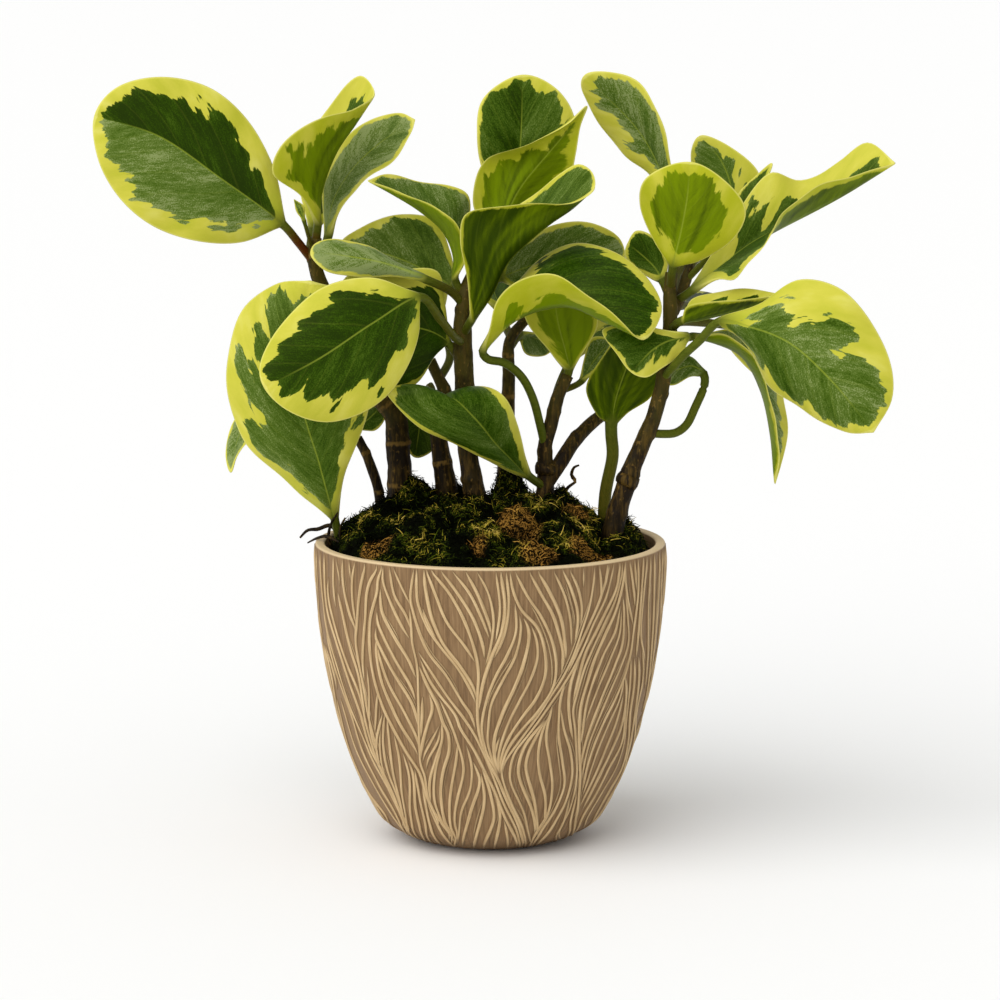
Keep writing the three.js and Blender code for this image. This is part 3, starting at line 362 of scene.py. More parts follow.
# stalk runs from the middle of the stem to the blade, rib along the midrib to the tip, and left and
# right are the margins as they lie when the upper face is looked at with the tip up. stalkRadius is
# given, in mm, where it isn't the usual one, and a pointed leaf has no rounded end. bow is how far
# each half swells towards the upper face, yellow the margin's width in mm at base, middle and tip
# (left, right), tone how grey each half is, glow how bright the underside is, brown the stalk.
leafRails = {
    "leaf_upper_left": {
        "stalk": [(-70.4, 111, 24), (-77, 119.5, 22)],
        "rib": [(-83, 126.5, 20), (-108, 145, 14), (-133, 162, 11), (-158.5, 170, 11)],
        "left": [(-100, 119.5, 14), (-118, 120, 10), (-136, 126.5, 8), (-149, 138, 8),
            (-157, 153, 9)],
        "right": [(-86.5, 148, 16), (-97, 168, 14), (-112, 181, 13), (-132, 185.5, 12),
            (-150, 181, 11)],
        "bow": (0.06, 0.06), "yellow": ((5, 8, 5), (4, 9, 4)), "tone": (0.8, 0.1), "glow": 0.6,
        "brown": 1,
    },
    "leaf_left_folded": {
        "stalk": [(-69.9, 118, 23.2)],
        "rib": [(-69, 126, 22), (-68, 138, 22), (-62, 155, 20), (-54, 167, 18), (-46.5, 178, 14)],
        "left": [(-75, 142, 30), (-72, 162, 32), (-62.8, 176, 28), (-52, 186, 23),
            (-47.5, 182, 18)],
        "right": [(-76, 138, 16), (-87, 147, 8), (-84, 158, 4), (-67, 169.3, 4), (-54, 173.3, 8)],
        "bow": (-0.1, -0.1), "yellow": ((3, 7, 6), (4, 7.5, 6)), "tone": (0.5, 0.3), "glow": 0.72,
        "brown": 0.6,
    },
    "leaf_left_narrow": {
        "stalk": [(-70.2, 114, 23.8), (-67, 117, 28)],
        "rib": [(-65, 121, 31), (-62.2, 136, 33), (-55, 148, 35), (-46, 157, 37), (-30, 168.5, 38)],
        "left": [(-66.8, 140, 38), (-60.4, 157.6, 44), (-47, 168.8, 44), (-36, 171, 42)],
        "right": [(-61.3, 130, 29), (-52, 142.6, 26), (-40, 151, 28), (-32, 162, 32)],
        "pointed": True, "bow": (-0.05, -0.05), "yellow": ((1.2, 1.6, 1.5), (2.5, 2.2, 1.5)),
        "tone": (0.85, 0.8), "glow": 0.6, "brown": 0.2,
    },
    "leaf_left_bud": {
        "stalk": [(-70.4, 113.5, 23.8)],
        "rib": [(-74.5, 128, 15), (-76, 133, 14), (-78.5, 136.5, 14)],
        "left": [(-77.4, 131.5, 14)],
        "right": [(-74.5, 133.5, 14)],
        "stalkRadius": 0.8, "pointed": True, "bow": (0, 0),
        "yellow": ((0.3, 0.4, 0.3), (0.3, 0.4, 0.3)), "tone": (0.6, 0.6), "glow": 0.6, "brown": 0.4,
    },
    "leaf_left_small": {
        "stalk": [(-9.8, 93, 10.8), (-15, 99, 7)],
        "rib": [(-26, 104.5, -3), (-42, 110.5, -7), (-58, 113.5, -8), (-72, 115, -8)],
        "left": [(-38, 105.5, -6), (-54, 105.5, -10), (-65, 107.7, -12), (-70.5, 112, -10)],
        "right": [(-36, 110.5, 1), (-50, 118, 0), (-62, 120.7, -2), (-70, 118.5, -4)],
        "bow": (0.05, 0.05), "yellow": ((0.8, 1, 1), (0.8, 1, 1)), "tone": (1.05, 1), "glow": 0.5,
        "brown": 0.3,
    },
    "leaf_left_rear": {
        "stalk": [(-10, 91, 10.6)],
        "rib": [(-15, 101, 22), (-24, 107, 29), (-40, 114, 35), (-60, 118.5, 38)],
        "left": [(-26, 100, 28), (-42, 104, 34), (-54, 112, 38)],
        "right": [(-16, 115, 29), (-22, 128, 35), (-36, 130.3, 39), (-52, 125, 40)],
        "bow": (0.06, 0.06), "yellow": ((1, 2, 2.5), (1, 2.6, 3.4)), "tone": (0.75, 0.6),
        "glow": 0.5, "brown": 0.3,
    },
    "leaf_front_left": {
        "stalk": [(-10.8, 79, 10), (-14, 81, 1), (-20, 88.5, -13)],
        "rib": [(-28.8, 97.4, -30), (-47, 87, -38), (-68, 73, -42), (-90.5, 61, -42)],
        "left": [(-29, 82, -30), (-40, 59, -34), (-63, 47.3, -38), (-81, 52, -42)],
        "right": [(-48, 105, -34), (-68, 100.5, -36), (-84, 85.5, -38), (-92.2, 70, -40)],
        "bow": (0.06, 0.06), "yellow": ((3, 10, 8), (5, 7, 3)), "tone": (0.2, 0.06), "glow": 0.5,
        "brown": 0.2,
    },
    "leaf_low_left": {
        "stalk": [(-59, -8, 2), (-61, 3, 0)],
        "rib": [(-62.3, 9, -2), (-68, 30, -9), (-76, 60, -13), (-72, 104, -6)],
        "left": [(-79.5, 22.2, -4), (-99, 41, -6), (-105.4, 66, -6), (-99, 92, -2),
            (-86, 102.5, 0)],
        "right": [(-59, 25, -8), (-49, 51, -13), (-47, 78, -14), (-56, 98, -8)],
        "pointed": True, "bow": (0.1, 0.1), "yellow": ((2.5, 10, 9), (2, 6, 5)),
        "tone": (0.62, 0.5), "glow": 0.4, "brown": 0.1,
    },
    "leaf_low_left_rear": {
        "stalk": [(-38, 50, 26), (-50, 57, 30)],
        "rib": [(-66, 61, 30), (-86, 57, 28), (-98, 46, 24), (-103.8, 27, 20)],
        "left": [(-80, 48, 20), (-94, 42, 18), (-101.5, 33, 18)],
        "right": [(-85, 66, 34), (-101, 50, 30), (-105.9, 35, 24)],
        "bow": (0, 0), "yellow": ((1, 1.2, 1), (1, 1.2, 1)), "tone": (0.9, 0.9), "glow": 0.9,
        "brown": 0.4,
    },
    "leaf_front_low": {
        "stalk": [(22, 21, 20)],
        "rib": [(15, 26, 12), (8, 33, 4), (2, 39, -4), (-5, 47.5, -13), (-13, 55, -18),
            (-19, 56.5, -11), (-24, 53, -3)],
        "left": [(8, 28, 6), (-12, 37.5, -10), (-27.6, 44.8, -19), (-41, 58, -19), (-39, 61, -8),
            (-31, 56, -1)],
        "right": [(13.7, 33, 5), (11, 46, -4), (5, 58, -8), (-3, 61.5, -2), (-14, 57.5, 0)],
        "pointed": True, "bow": (0.12, 0.12), "yellow": ((1.5, 3, 3.5), (1.5, 3.5, 2.5)),
        "tone": (0.5, 0.45), "glow": 0.5, "brown": 0.1,
    },
    "leaf_left_shaded": {
        "stalk": [(-10.6, 70, 10)],
        "rib": [(-17, 79, 11), (-25, 84, 6), (-40, 86, 2), (-60, 84, -1)],
        "left": [(-21, 75, 8), (-30, 62.5, 3), (-44, 58, 0), (-56, 66, -2)],
        "right": [(-18.5, 95, 8), (-21, 107.5, 7), (-40, 107.5, 2), (-58, 105, 0)],
        "bow": (0.05, 0.05), "yellow": ((1, 2, 2), (3, 5, 5)), "tone": (0.1, 0.1), "glow": 0.35,
        "brown": 0.3,
    },
    "leaf_top_rear": {
        "stalk": [(4.5, 122.8, 19.6)],
        "rib": [(9, 130, 23), (11, 145, 28), (12.5, 165, 31), (13, 186.5, 29)],
        "left": [(-2, 146, 26), (-5.2, 162, 27), (-2.5, 177, 29)],
        "right": [(22, 145, 27), (34, 165, 27), (28, 179.5, 29)],
        "bow": (0.06, 0.06), "yellow": ((1, 1.5, 2), (3, 5, 4)), "tone": (0.32, 0.5), "glow": 0.5,
        "brown": 0.3,
    },
    "leaf_top_cupped": {
        "stalk": [(0.5, 117, 18.8), (3, 122, 13.5)],
        "rib": [(5.5, 128, 12), (12, 141, 12), (24, 156, 11), (39, 174, 13)],
        "left": [(20, 134, 15), (31, 144, 14), (34.3, 155, 13), (36.3, 166, 13)],
        "right": [(-5, 131, 16), (-6.3, 142, 14), (-1.5, 152.3, 12), (17.5, 159, 4),
            (32, 167.5, 8)],
        "bow": (0.12, 0.1), "yellow": ((2, 4, 3), (5, 8, 5)), "tone": (0.3, 0.3), "glow": 0.68,
        "brown": 0.2,
    },
    "leaf_centre_folded": {
        "stalk": [(-10.9, 82, 10)],
        "rib": [(-7.5, 88, 2), (0, 98, -4), (7, 111.5, -8), (15, 119.5, -10), (24, 127, -10),
            (33, 133, -8), (42, 141, -5)],
        "left": [(-8, 104, 4), (-6, 122, 5), (10, 133, 5), (28, 146.5, 3), (36, 150.5, 0),
            (41, 147.5, -2)],
        "right": [(-9, 104, -8), (-12, 121, -16), (-9.5, 130.5, -18), (13, 134.5, -18),
            (34, 135.5, -12)],
        "bow": (-0.05, 0.1), "yellow": ((1.5, 2, 2), (1.2, 1.8, 2)), "tone": (0.55, 0.55),
        "glow": 0.3, "brown": 0.2,
    },
    "leaf_centre_left": {
        "stalk": [(-9.3, 96, 11.4)],
        "rib": [(-14, 104, 12), (-14, 113, 12), (-18.5, 123.5, 12), (-28, 132, 13),
            (-39, 138.8, 12), (-49, 144, 10)],
        "left": [(-10, 112, 6), (-13, 127, 1), (-21, 132.5, 3), (-36, 139.6, 8)],
        "right": [(-11, 113, 18), (-8, 128, 24), (-9, 138, 25), (-16, 141.8, 25), (-29, 143.9, 22),
            (-42, 146.4, 16)],
        "pointed": True, "bow": (-0.05, -0.05), "yellow": ((0.8, 1, 1), (1, 1.4, 1.2)),
        "tone": (0.35, 0.75), "glow": 0.8, "brown": 0.3,
    },
    "leaf_centre_arching": {
        "stalk": [(22, 37, 20), (20, 46, 16), (17, 57, 12), (12.4, 65.6, 8), (5.5, 71, 4),
            (-1, 72.5, 1)],
        "rib": [(-3, 75.5, -1), (2.5, 82, -5), (9, 87.5, -9), (19, 92, -14), (32, 93.5, -20),
            (47, 87, -24), (62, 80.3, -26)],
        "left": [(8, 100, 2), (22, 113.7, 6), (35, 119.3, 4), (50, 115, -2), (64, 104, -8),
            (68.7, 92, -16)],
        "right": [(-0.5, 84, -10), (3, 96, -16), (13, 105, -24), (26, 106, -32), (42, 96.5, -36),
            (54, 86, -34)],
        "bow": (0.08, -0.05), "yellow": ((22, 4, 4), (13, 7, 4)), "tone": (0.25, 0.3), "glow": 1,
        "brown": 0,
    },
    "leaf_centre_rear": {
        "stalk": [(-9.2, 99, 11.9), (-4, 101, 18)],
        "rib": [(4, 105, 24), (20, 111, 33), (36, 114, 39), (54, 112, 43)],
        "left": [(8, 114, 29), (16, 121, 32), (25, 126, 35), (40, 127, 39), (52, 120.5, 43)],
        "right": [(14, 100, 27), (30, 102, 35), (48, 105, 39)],
        "bow": (0.06, 0.06), "yellow": ((1.2, 1.6, 1.5), (1.2, 1.6, 1.5)), "tone": (0.8, 0.75),
        "glow": 0.5, "brown": 0.3,
    },
    "leaf_right_inner": {
        "stalk": [(72, 96.5, -0.2)],
        "rib": [(69, 104, 6.5), (66, 109, 9), (61, 114, 10), (55, 119, 10)],
        "left": [(65.5, 104.5, 8), (58.5, 108.5, 9), (54, 114, 10)],
        "right": [(71, 112, 9), (66, 121, 10), (58.5, 123.8, 10)],
        "bow": (0.04, 0.04), "yellow": ((1.5, 1.6, 1.5), (1.5, 1.5, 1.5)), "tone": (0.35, 0.3),
        "glow": 0.5, "brown": 0.3,
    },
    "leaf_right_high": {
        "stalk": [(72.4, 103.5, 1.2), (74.6, 113, 12.5)],
        "rib": [(73.5, 124, 17), (69, 147, 23), (60, 164, 26), (38, 186.5, 26)],
        "left": [(64, 146, 28), (53, 155, 33), (42.6, 169, 34), (36.6, 181, 30)],
        "right": [(73, 146, 19), (70, 163, 16), (61, 182, 18), (48, 187.6, 22)],
        "bow": (0.06, 0.06), "yellow": ((5, 7, 6), (1, 1.4, 3)), "tone": (0.8, 0.76), "glow": 0.6,
        "brown": 0.3,
    },
    "leaf_right_round": {
        "stalk": [(72.2, 101, 0.7)],
        "rib": [(73.2, 110, -8), (76.5, 124, -13), (79, 138, -18), (80, 151.5, -20)],
        "left": [(84, 112, -9), (98, 121.5, -13), (102.3, 132, -17), (94, 144, -20)],
        "right": [(66.5, 119, -9), (60, 134, -13), (62.5, 145, -18)],
        "bow": (-0.05, -0.05), "yellow": ((5, 9.5, 6.5), (5, 8.5, 7)), "tone": (0.4, 0.4),
        "glow": 0.84, "brown": 0.3,
    },
    "leaf_right_rear": {
        "stalk": [(79.9, 109.6, 13.8), (84, 114, 21)],
        "rib": [(92, 120, 26), (97, 136, 28), (93, 151, 29), (84, 162, 29)],
        "left": [(86, 128, 26), (81.5, 145, 28), (80.8, 157, 29)],
        "right": [(103, 134, 26), (107.8, 146, 28), (96, 157.5, 30)],
        "bow": (0.05, 0.05), "yellow": ((1.5, 2, 1.5), (9, 9, 5)), "tone": (0.7, 0.7), "glow": 0.5,
        "brown": 0.2,
    },
    "leaf_right_young": {
        "stalk": [(78.4, 103.8, 10.2), (87, 113, 11)],
        "rib": [(97, 125, 15), (103, 134, 16), (108, 142, 17), (113, 151, 18)],
        "left": [(98, 136, 20), (106, 145.5, 20)],
        "right": [(104, 132, 12), (109, 141, 14)],
        "stalkRadius": 1.3, "bow": (-0.1, -0.1), "yellow": ((0.8, 1, 1), (0.8, 1, 1)),
        "tone": (0.4, 0.4), "glow": 1, "brown": 0.1,
    },
    "leaf_right_long": {
        "stalk": [(75, 96, 4.4)],
        "rib": [(81, 100, 0), (89, 106.5, 0), (104, 118, 2), (119, 126.3, 2), (140, 137.5, 0),
            (162.5, 151, -2)],
        "left": [(94, 122, 6), (112, 147, 9), (124, 144, 12), (140, 151.5, 12), (151, 159.4, 8)],
        "right": [(91, 105, -6), (98, 104.6, -11), (104.5, 112, -14), (112.5, 122.5, -13),
            (118, 132, -12), (131, 141.5, -10), (148, 146.8, -6)],
        "pointed": True, "bow": (0.03, 0.03), "yellow": ((6, 11, 8), (4, 3, 2)),
        "tone": (0.45, 0.4), "glow": 0.6, "brown": 0.1,
    },
    "leaf_right_level": {
        "stalk": [(71.9, 84, -3.1)],
        "rib": [(77, 88, -10), (84, 88.5, -12), (95, 91, -14), (106, 94, -16), (116, 98, -18)],
        "left": [(81, 96.5, -5), (95, 100, -4), (109, 100, -9)],
        "right": [(79, 94, -15), (92, 95.5, -19), (106, 97, -19)],
        "bow": (-0.03, -0.03), "yellow": ((2, 5, 4), (0.8, 1, 1)), "tone": (0.2, 0.25), "glow": 0.4,
        "brown": 0.2,
    },
    "leaf_right_big": {
        "stalk": [(69.3, 65, -5), (73.5, 69.5, -12), (78, 74.5, -16), (83.5, 79.5, -20)],
        "rib": [(92, 87.5, -26), (104, 85.5, -33), (120, 79, -40), (137, 63.5, -45),
            (153.5, 43, -46)],
        "left": [(108, 94.3, -30), (124, 104.2, -34), (141, 100, -38), (158, 77, -42),
            (161, 57, -44)],
        "right": [(101.5, 80.5, -26), (111, 62.7, -28), (126, 51.7, -35), (142, 43.2, -42)],
        "pointed": True, "bow": (0.05, 0.12), "yellow": ((6, 14, 2.5), (2, 5, 3)),
        "tone": (0.74, 0.66), "glow": 0.6, "brown": 0,
    },
    "leaf_right_hanging": {
        "stalk": [(70.6, 74, -4.6), (75, 79, 3)],
        "rib": [(81, 81.5, 6), (90, 79.5, 6), (101, 73.5, 5), (108.5, 60, 4), (112.5, 42, 2),
            (114, 22.3, 0)],
        "left": [(102, 84, 13), (114, 72, 14), (118, 55, 12), (118.5, 38, 8)],
        "right": [(96, 82, -3), (109, 68, -8), (113, 52, -9), (116, 36, -5)],
        "pointed": True, "bow": (-0.05, -0.05), "yellow": ((2, 3, 4), (1, 1.5, 1.5)),
        "tone": (0.95, 0.5), "glow": 0.7, "brown": 0,
    },
    "leaf_right_low": {
        "stalk": [(71.2, 79, -3.8), (75.5, 81, -6.5)],
        "rib": [(79, 81.5, -9), (72, 80, -11), (65, 76, -13), (56.5, 67, -15)],
        "left": [(77, 75.5, -9.5), (68.5, 68.7, -13), (62, 65.2, -16)],
        "right": [(73, 83, -12), (58, 86, -9), (45, 84, -9), (51, 74, -13)],
        "bow": (0.05, 0.05), "yellow": ((2, 5, 1.5), (3, 5, 1.5)), "tone": (0.35, 0.3), "glow": 0.3,
        "brown": 0.1,
    },
    "leaf_right_dark": {
        "stalk": [(45, -14, 20), (46, 18, 20), (49, 34, 20), (48.5, 42, 21)],
        "rib": [(48.5, 47, 22), (50, 56, 24), (54, 68, 26), (60, 84, 26)],
        "left": [(54, 51, 22), (64, 57, 24), (70, 70, 26), (67, 82, 27)],
        "right": [(43.5, 50, 20), (38.6, 60, 20), (44, 72, 22), (52, 82, 24)],
        "stalkRadius": 2.5, "bow": (0.08, 0.08), "yellow": ((0, 0.5, 1), (0, 0.5, 1)),
        "tone": (0.15, 0.15), "glow": 0.2, "brown": 0.35,
    },
    "leaf_right_looped": {
        "stalk": [(62.8, 43, -5), (69, 42.5, -3), (74.3, 43, 0), (78.6, 46.2, 3), (82, 53, 5),
            (85.9, 62.7, 7)],
        "rib": [(85.4, 66.5, 8), (81, 69.5, 9), (75, 68, 10), (67, 64, 12)],
        "left": [(80, 65.5, 8), (73, 62, 9)],
        "right": [(81, 73, 10), (74, 74, 12)],
        "bow": (0, 0), "yellow": ((0, 0.3, 0.3), (0, 0.3, 0.3)), "tone": (0.8, 0.8), "glow": 0.3,
        "brown": 0.1,
    },
    "leaf_centre_low": {
        "stalk": [(30, 64, 21.8)],
        "rib": [(31.5, 68, 22), (30, 76, 22), (27, 88, 18), (25, 103, 14)],
        "left": [(36, 74, 22), (43, 86, 20), (40, 98, 18)],
        "right": [(25.5, 74, 20), (14.5, 88, 18), (13, 97, 16)],
        "bow": (0.08, 0.08), "yellow": ((1, 2, 3), (4, 5, 4)), "tone": (0.4, 0.4), "glow": 0.9,
        "brown": 0.5,
    },
    "leaf_centre_far": {
        "stalk": [(7.8, 77, 34)],
        "rib": [(12, 82, 42), (18, 81, 48), (26, 78, 56)],
        "left": [(16, 83, 44), (25, 82, 52)],
        "right": [(14, 75, 44), (22, 74, 52)],
        "bow": (0, 0), "yellow": ((0.6, 0.8, 0.8), (0.6, 0.8, 0.8)), "tone": (0.7, 0.7),
        "glow": 0.5, "brown": 0.3,
    },
    "leaf_centre_small": {
        "stalk": [(28.2, 59.5, 21.3)],
        "rib": [(36.5, 63.5, 27), (42, 72, 29), (49, 80, 31)],
        "left": [(37.5, 72, 30), (41, 81, 32)],
        "right": [(42, 68, 26), (50, 76, 29)],
        "stalkRadius": 1.3, "bow": (0, 0), "yellow": ((0.8, 1, 1), (0.8, 1, 1)), "tone": (0.8, 0.8),
        "glow": 0.5, "brown": 0.3,
    },
    "leaf_left_inner": {
        "stalk": [(-52.5, 40, 32)],
        "rib": [(-54, 45, 34), (-49, 48, 34), (-43, 54, 34)],
        "left": [(-51, 51, 36)],
        "right": [(-46, 44, 32), (-42, 49, 32)],
        "stalkRadius": 1.3, "bow": (0, 0), "yellow": ((0.5, 0.6, 0.6), (0.5, 0.6, 0.6)),
        "tone": (0.4, 0.4), "glow": 0.3, "brown": 0.3,
    },
    "leaf_left_drooping": {
        "stalk": [(-22.2, 57, 27.9), (-24, 62, 34)],
        "rib": [(-26, 57, 37), (-28, 47, 37), (-30, 33, 36)],
        "left": [(-19, 47, 35), (-22, 37, 35)],
        "right": [(-34, 52, 36), (-35, 42, 35)],
        "stalkRadius": 1.3, "bow": (0, 0), "yellow": ((0.5, 0.6, 0.6), (0.5, 0.6, 0.6)),
        "tone": (0.3, 0.3), "glow": 0.3, "brown": 0.3,
    },
    "leaf_back_left_high": {
        "stalk": [(-69.5, 108.5, 24.2), (-72, 113, 33)],
        "rib": [(-71, 124, 44), (-67, 138, 54), (-63, 149, 66), (-57, 157, 76)],
        "left": [(-76, 140, 58), (-74, 154, 70), (-65, 160, 76)],
        "right": [(-60, 134, 52), (-50, 146, 64), (-48, 154, 72)],
        "bow": (0.06, 0.06), **backColours["broad"],
    },
    "leaf_back_left": {
        "stalk": [(-66.4, 99, 24.9), (-70, 101, 34)],
        "rib": [(-73, 101, 42), (-80, 98, 58), (-86, 90, 74), (-90, 76, 86)],
        "left": [(-62, 98, 48), (-60, 90, 64), (-66, 80, 80), (-80, 71, 88)],
        "right": [(-84, 99, 46), (-97, 92, 60), (-103, 80, 76), (-99, 72, 86)],
        "bow": (0.1, 0.1), **backColours["bold"],
    },
    "leaf_back_left_low": {
        "stalk": [(-46, 60, 26), (-50, 64, 34)],
        "rib": [(-56, 66, 42), (-66, 66, 56), (-78, 60, 68), (-90, 50, 76)],
        "left": [(-54, 60, 50), (-60, 52, 66), (-74, 45, 76), (-86, 42, 78)],
        "right": [(-68, 72, 44), (-84, 72, 52), (-98, 62, 64), (-98, 52, 74)],
        "bow": (0.1, 0.1), **backColours["grey"],
    },
    "leaf_back_middle_left": {
        "stalk": [(-23.6, 71, 19.8), (-28, 75, 28)],
        "rib": [(-32, 78, 38), (-40, 83, 50), (-49, 85, 62), (-57, 81, 73)],
        "left": [(-30, 72, 46), (-37, 68, 59), (-47, 66, 71), (-54, 70, 75)],
        "right": [(-36, 88, 42), (-47, 96, 51), (-56, 96, 60), (-60, 89, 69)],
        "bow": (0.08, 0.08), **backColours["broad"],
    },
    "leaf_back_middle_high": {
        "stalk": [(-20.5, 64, 18.5), (-16, 74, 30)],
        "rib": [(-21, 88, 42), (-28, 100, 56), (-32, 110, 68), (-38, 116, 80)],
        "left": [(-36, 94, 48), (-48, 104, 60), (-52, 112, 72)],
        "right": [(-18, 96, 48), (-16, 108, 62), (-22, 118, 74)],
        "bow": (0.08, 0.08), **backColours["bold"],
    },
    "leaf_back_centre": {
        "stalk": [(11, 84.4, 35.1)],
        "rib": [(17, 95, 44), (25, 103, 58), (35, 109, 72), (45, 109, 86)],
        "left": [(14, 104, 50), (22, 116, 62), (36, 121, 76), (46, 117, 86)],
        "right": [(25, 98, 50), (38, 100, 62), (52, 103, 74), (54, 105, 84)],
        "bow": (0.08, 0.08), **backColours["grey"],
    },
    "leaf_back_centre_left": {
        "stalk": [(8.4, 81, 34.2), (6, 86, 42)],
        "rib": [(4, 92, 50), (1, 100, 62), (-1, 106, 74), (-2, 108, 86)],
        "left": [(-5, 100, 56), (-8, 112, 70), (-8, 116, 82)],
        "right": [(10, 100, 58), (12, 108, 70), (8, 112, 84)],
        "bow": (0.08, 0.08), **backColours["broad"],
    },
    "leaf_back_centre_low": {
        "stalk": [(26, 53, 20.7), (27, 60, 31)],
        "rib": [(33, 73, 40), (41, 82, 50), (49, 87, 62), (56, 86, 72)],
        "left": [(31, 82, 47), (37, 92, 58), (48, 97, 68), (55, 94, 74)],
        "right": [(44, 78, 46), (56, 78, 56), (64, 79, 66), (62, 82, 72)],
        "bow": (0.08, 0.08), **backColours["bold"],
    },
    "leaf_back_right_low": {
        "stalk": [(50, 53, 35.1)],
        "rib": [(53, 57, 42), (56, 64, 54), (58, 71, 64), (58, 78, 74)],
        "left": [(46, 62, 50), (45, 72, 62), (50, 80, 72)],
        "right": [(61, 60, 48), (66, 66, 60), (66, 75, 70)],
        "bow": (0.08, 0.08), **backColours["grey"],
    },
    "leaf_back_right_high": {
        "stalk": [(76.8, 99, 7.2), (75, 105, 20)],
        "rib": [(81, 115, 34), (90, 127, 48), (96, 135, 62), (100, 138, 76)],
        "left": [(76, 124, 42), (74, 138, 56), (84, 148, 70), (94, 148, 78)],
        "right": [(94, 120, 40), (104, 128, 54), (108, 136, 68), (106, 138, 76)],
        "bow": (0.08, 0.08), **backColours["broad"],
    },
    "leaf_back_right": {
        "stalk": [(72, 91, -1.6), (75.5, 93.5, 9)],
        "rib": [(80, 94, 21), (86, 94, 36), (94, 95, 52), (102, 93, 66)],
        "left": [(74, 94, 32), (72, 98, 50), (82, 99, 66), (94, 96, 72)],
        "right": [(92, 92, 26), (106, 93, 38), (112, 94, 52), (110, 93, 62)],
        "bow": (0.08, 0.08), **backColours["bold"],
    },
    "leaf_back_right_big": {
        "stalk": [(71.8, 83, -3.2), (75, 87, 9), (86, 87, 23)],
        "rib": [(96, 86, 32), (108, 86, 46), (120, 82, 60), (132, 72, 72)],
        "left": [(96, 78, 38), (104, 68, 54), (116, 60, 68), (128, 62, 76)],
        "right": [(106, 93, 34), (124, 97, 44), (138, 92, 56), (142, 80, 66)],
        "bow": (0.08, 0.08), **backColours["grey"],
    },
    "leaf_back_top": {
        "stalk": [(3.5, 121.5, 19.4), (5, 126, 30)],
        "rib": [(7, 131, 40), (10, 140, 52), (14, 148, 64), (18, 153, 76)],
        "left": [(0, 136, 48), (-3, 148, 60), (4, 158, 74)],
        "right": [(17, 136, 46), (27, 146, 58), (30, 155, 70)],
        "bow": (0.08, 0.08), **backColours["broad"],
    },
}
leafBuild = {
    "thickness": 0.0013, "stalkRadius": 0.0017, "fade": 0.32, "around": 44, "rings": 58,
    "stalkStep": 0.0016, "ripple": 0.0005, "rippleLength": 0.021, "rippleWidth": 0.01,
    # along the rib, in shares of its length: where the stalk's side is read and where it turns into
    # the blade's, the last ring, and how much of the last step is kept in front of the tip
    "sideAt": 0.24, "blendFrom": 0.12, "blendOver": 0.14, "lastRing": 0.992, "lastStep": 0.55,
    "tipThin": 0.8, "stalkFlare": 0.35, "flareLength": 0.0018, "roundEdge": 0.14,
    "edgeRadius": 0.00015, "paintAt": (0.05, 0.5, 0.92), "paintFade": 0.08, "stalkFade": 0.16,
}


def leafLines(spec, build):  # the stalk, the tip, then rib and margins with a point for each ring
    middle = smoothLine(placed(spec["stalk"] + spec["rib"]))
    cut = splineSteps * len(spec["stalk"])
    margins = [placed(spec["left"]), placed(spec["right"])]
    rails = [evenly(middle[cut:], build["rings"])]
    for own, other in (margins, margins[::-1]):
        if spec.get("pointed"):
            rail = smoothLine(np.vstack([middle[cut], own, middle[-1]]))
        else:
            rail = smoothLine(np.vstack([middle[cut], own, middle[-1], other[-1:]]))[:-splineSteps]
        rails.append(evenly(rail, build["rings"]))
    for rail in rails:
        rail[-1] = rail[-2] + (rail[-1] - rail[-2]) * build["lastStep"]
    return middle[:cut + 1], middle[-1], rails


def leafMarks(spec, build, seed, angle, along, reach, flat, girth):  # what the finish reads
    across = np.cos(angle)[None]
    outward, ones = abs(across), np.ones((len(reach), len(angle)))
    under = 0.5 + np.clip(-np.sin(angle) * 6, -0.5, 0.5)[None] * ones
    signed = np.sign(across) * outward * (flat + girth[:, None] * 1000)
    left, right = [np.interp(reach, build["paintAt"], widths)[:, None] for widths in spec["yellow"]]
    reach = reach[:, None]
    edge = (1 - outward) * flat * np.clip((1 - reach) / build["paintFade"], 0.15, 1)
    stalk = np.clip(1 - reach / build["stalkFade"], 0, 1) ** 1.5
    stalk = stalk * np.clip(1.1 - outward * flat / 3, 0, 1)
    layers = {
        "leafPlace": (along[:, None] * 1000, signed, seed),
        "leafPaint": (edge, np.where(across >= 0, right, left), spec["tone"][0]),
        "leafFace": (under, spec["glow"], reach),
        "leafStalk": (np.where(reach <= 0, 1.0, stalk), spec["brown"], spec["tone"][1]),
    }
    marks = {}
    for mark, three in layers.items():
        grid = np.stack([part * ones for part in three], -1)
        marks[mark] = np.vstack([grid.reshape(-1, 3), grid[0, :1], grid[-1, :1]])
    return marks


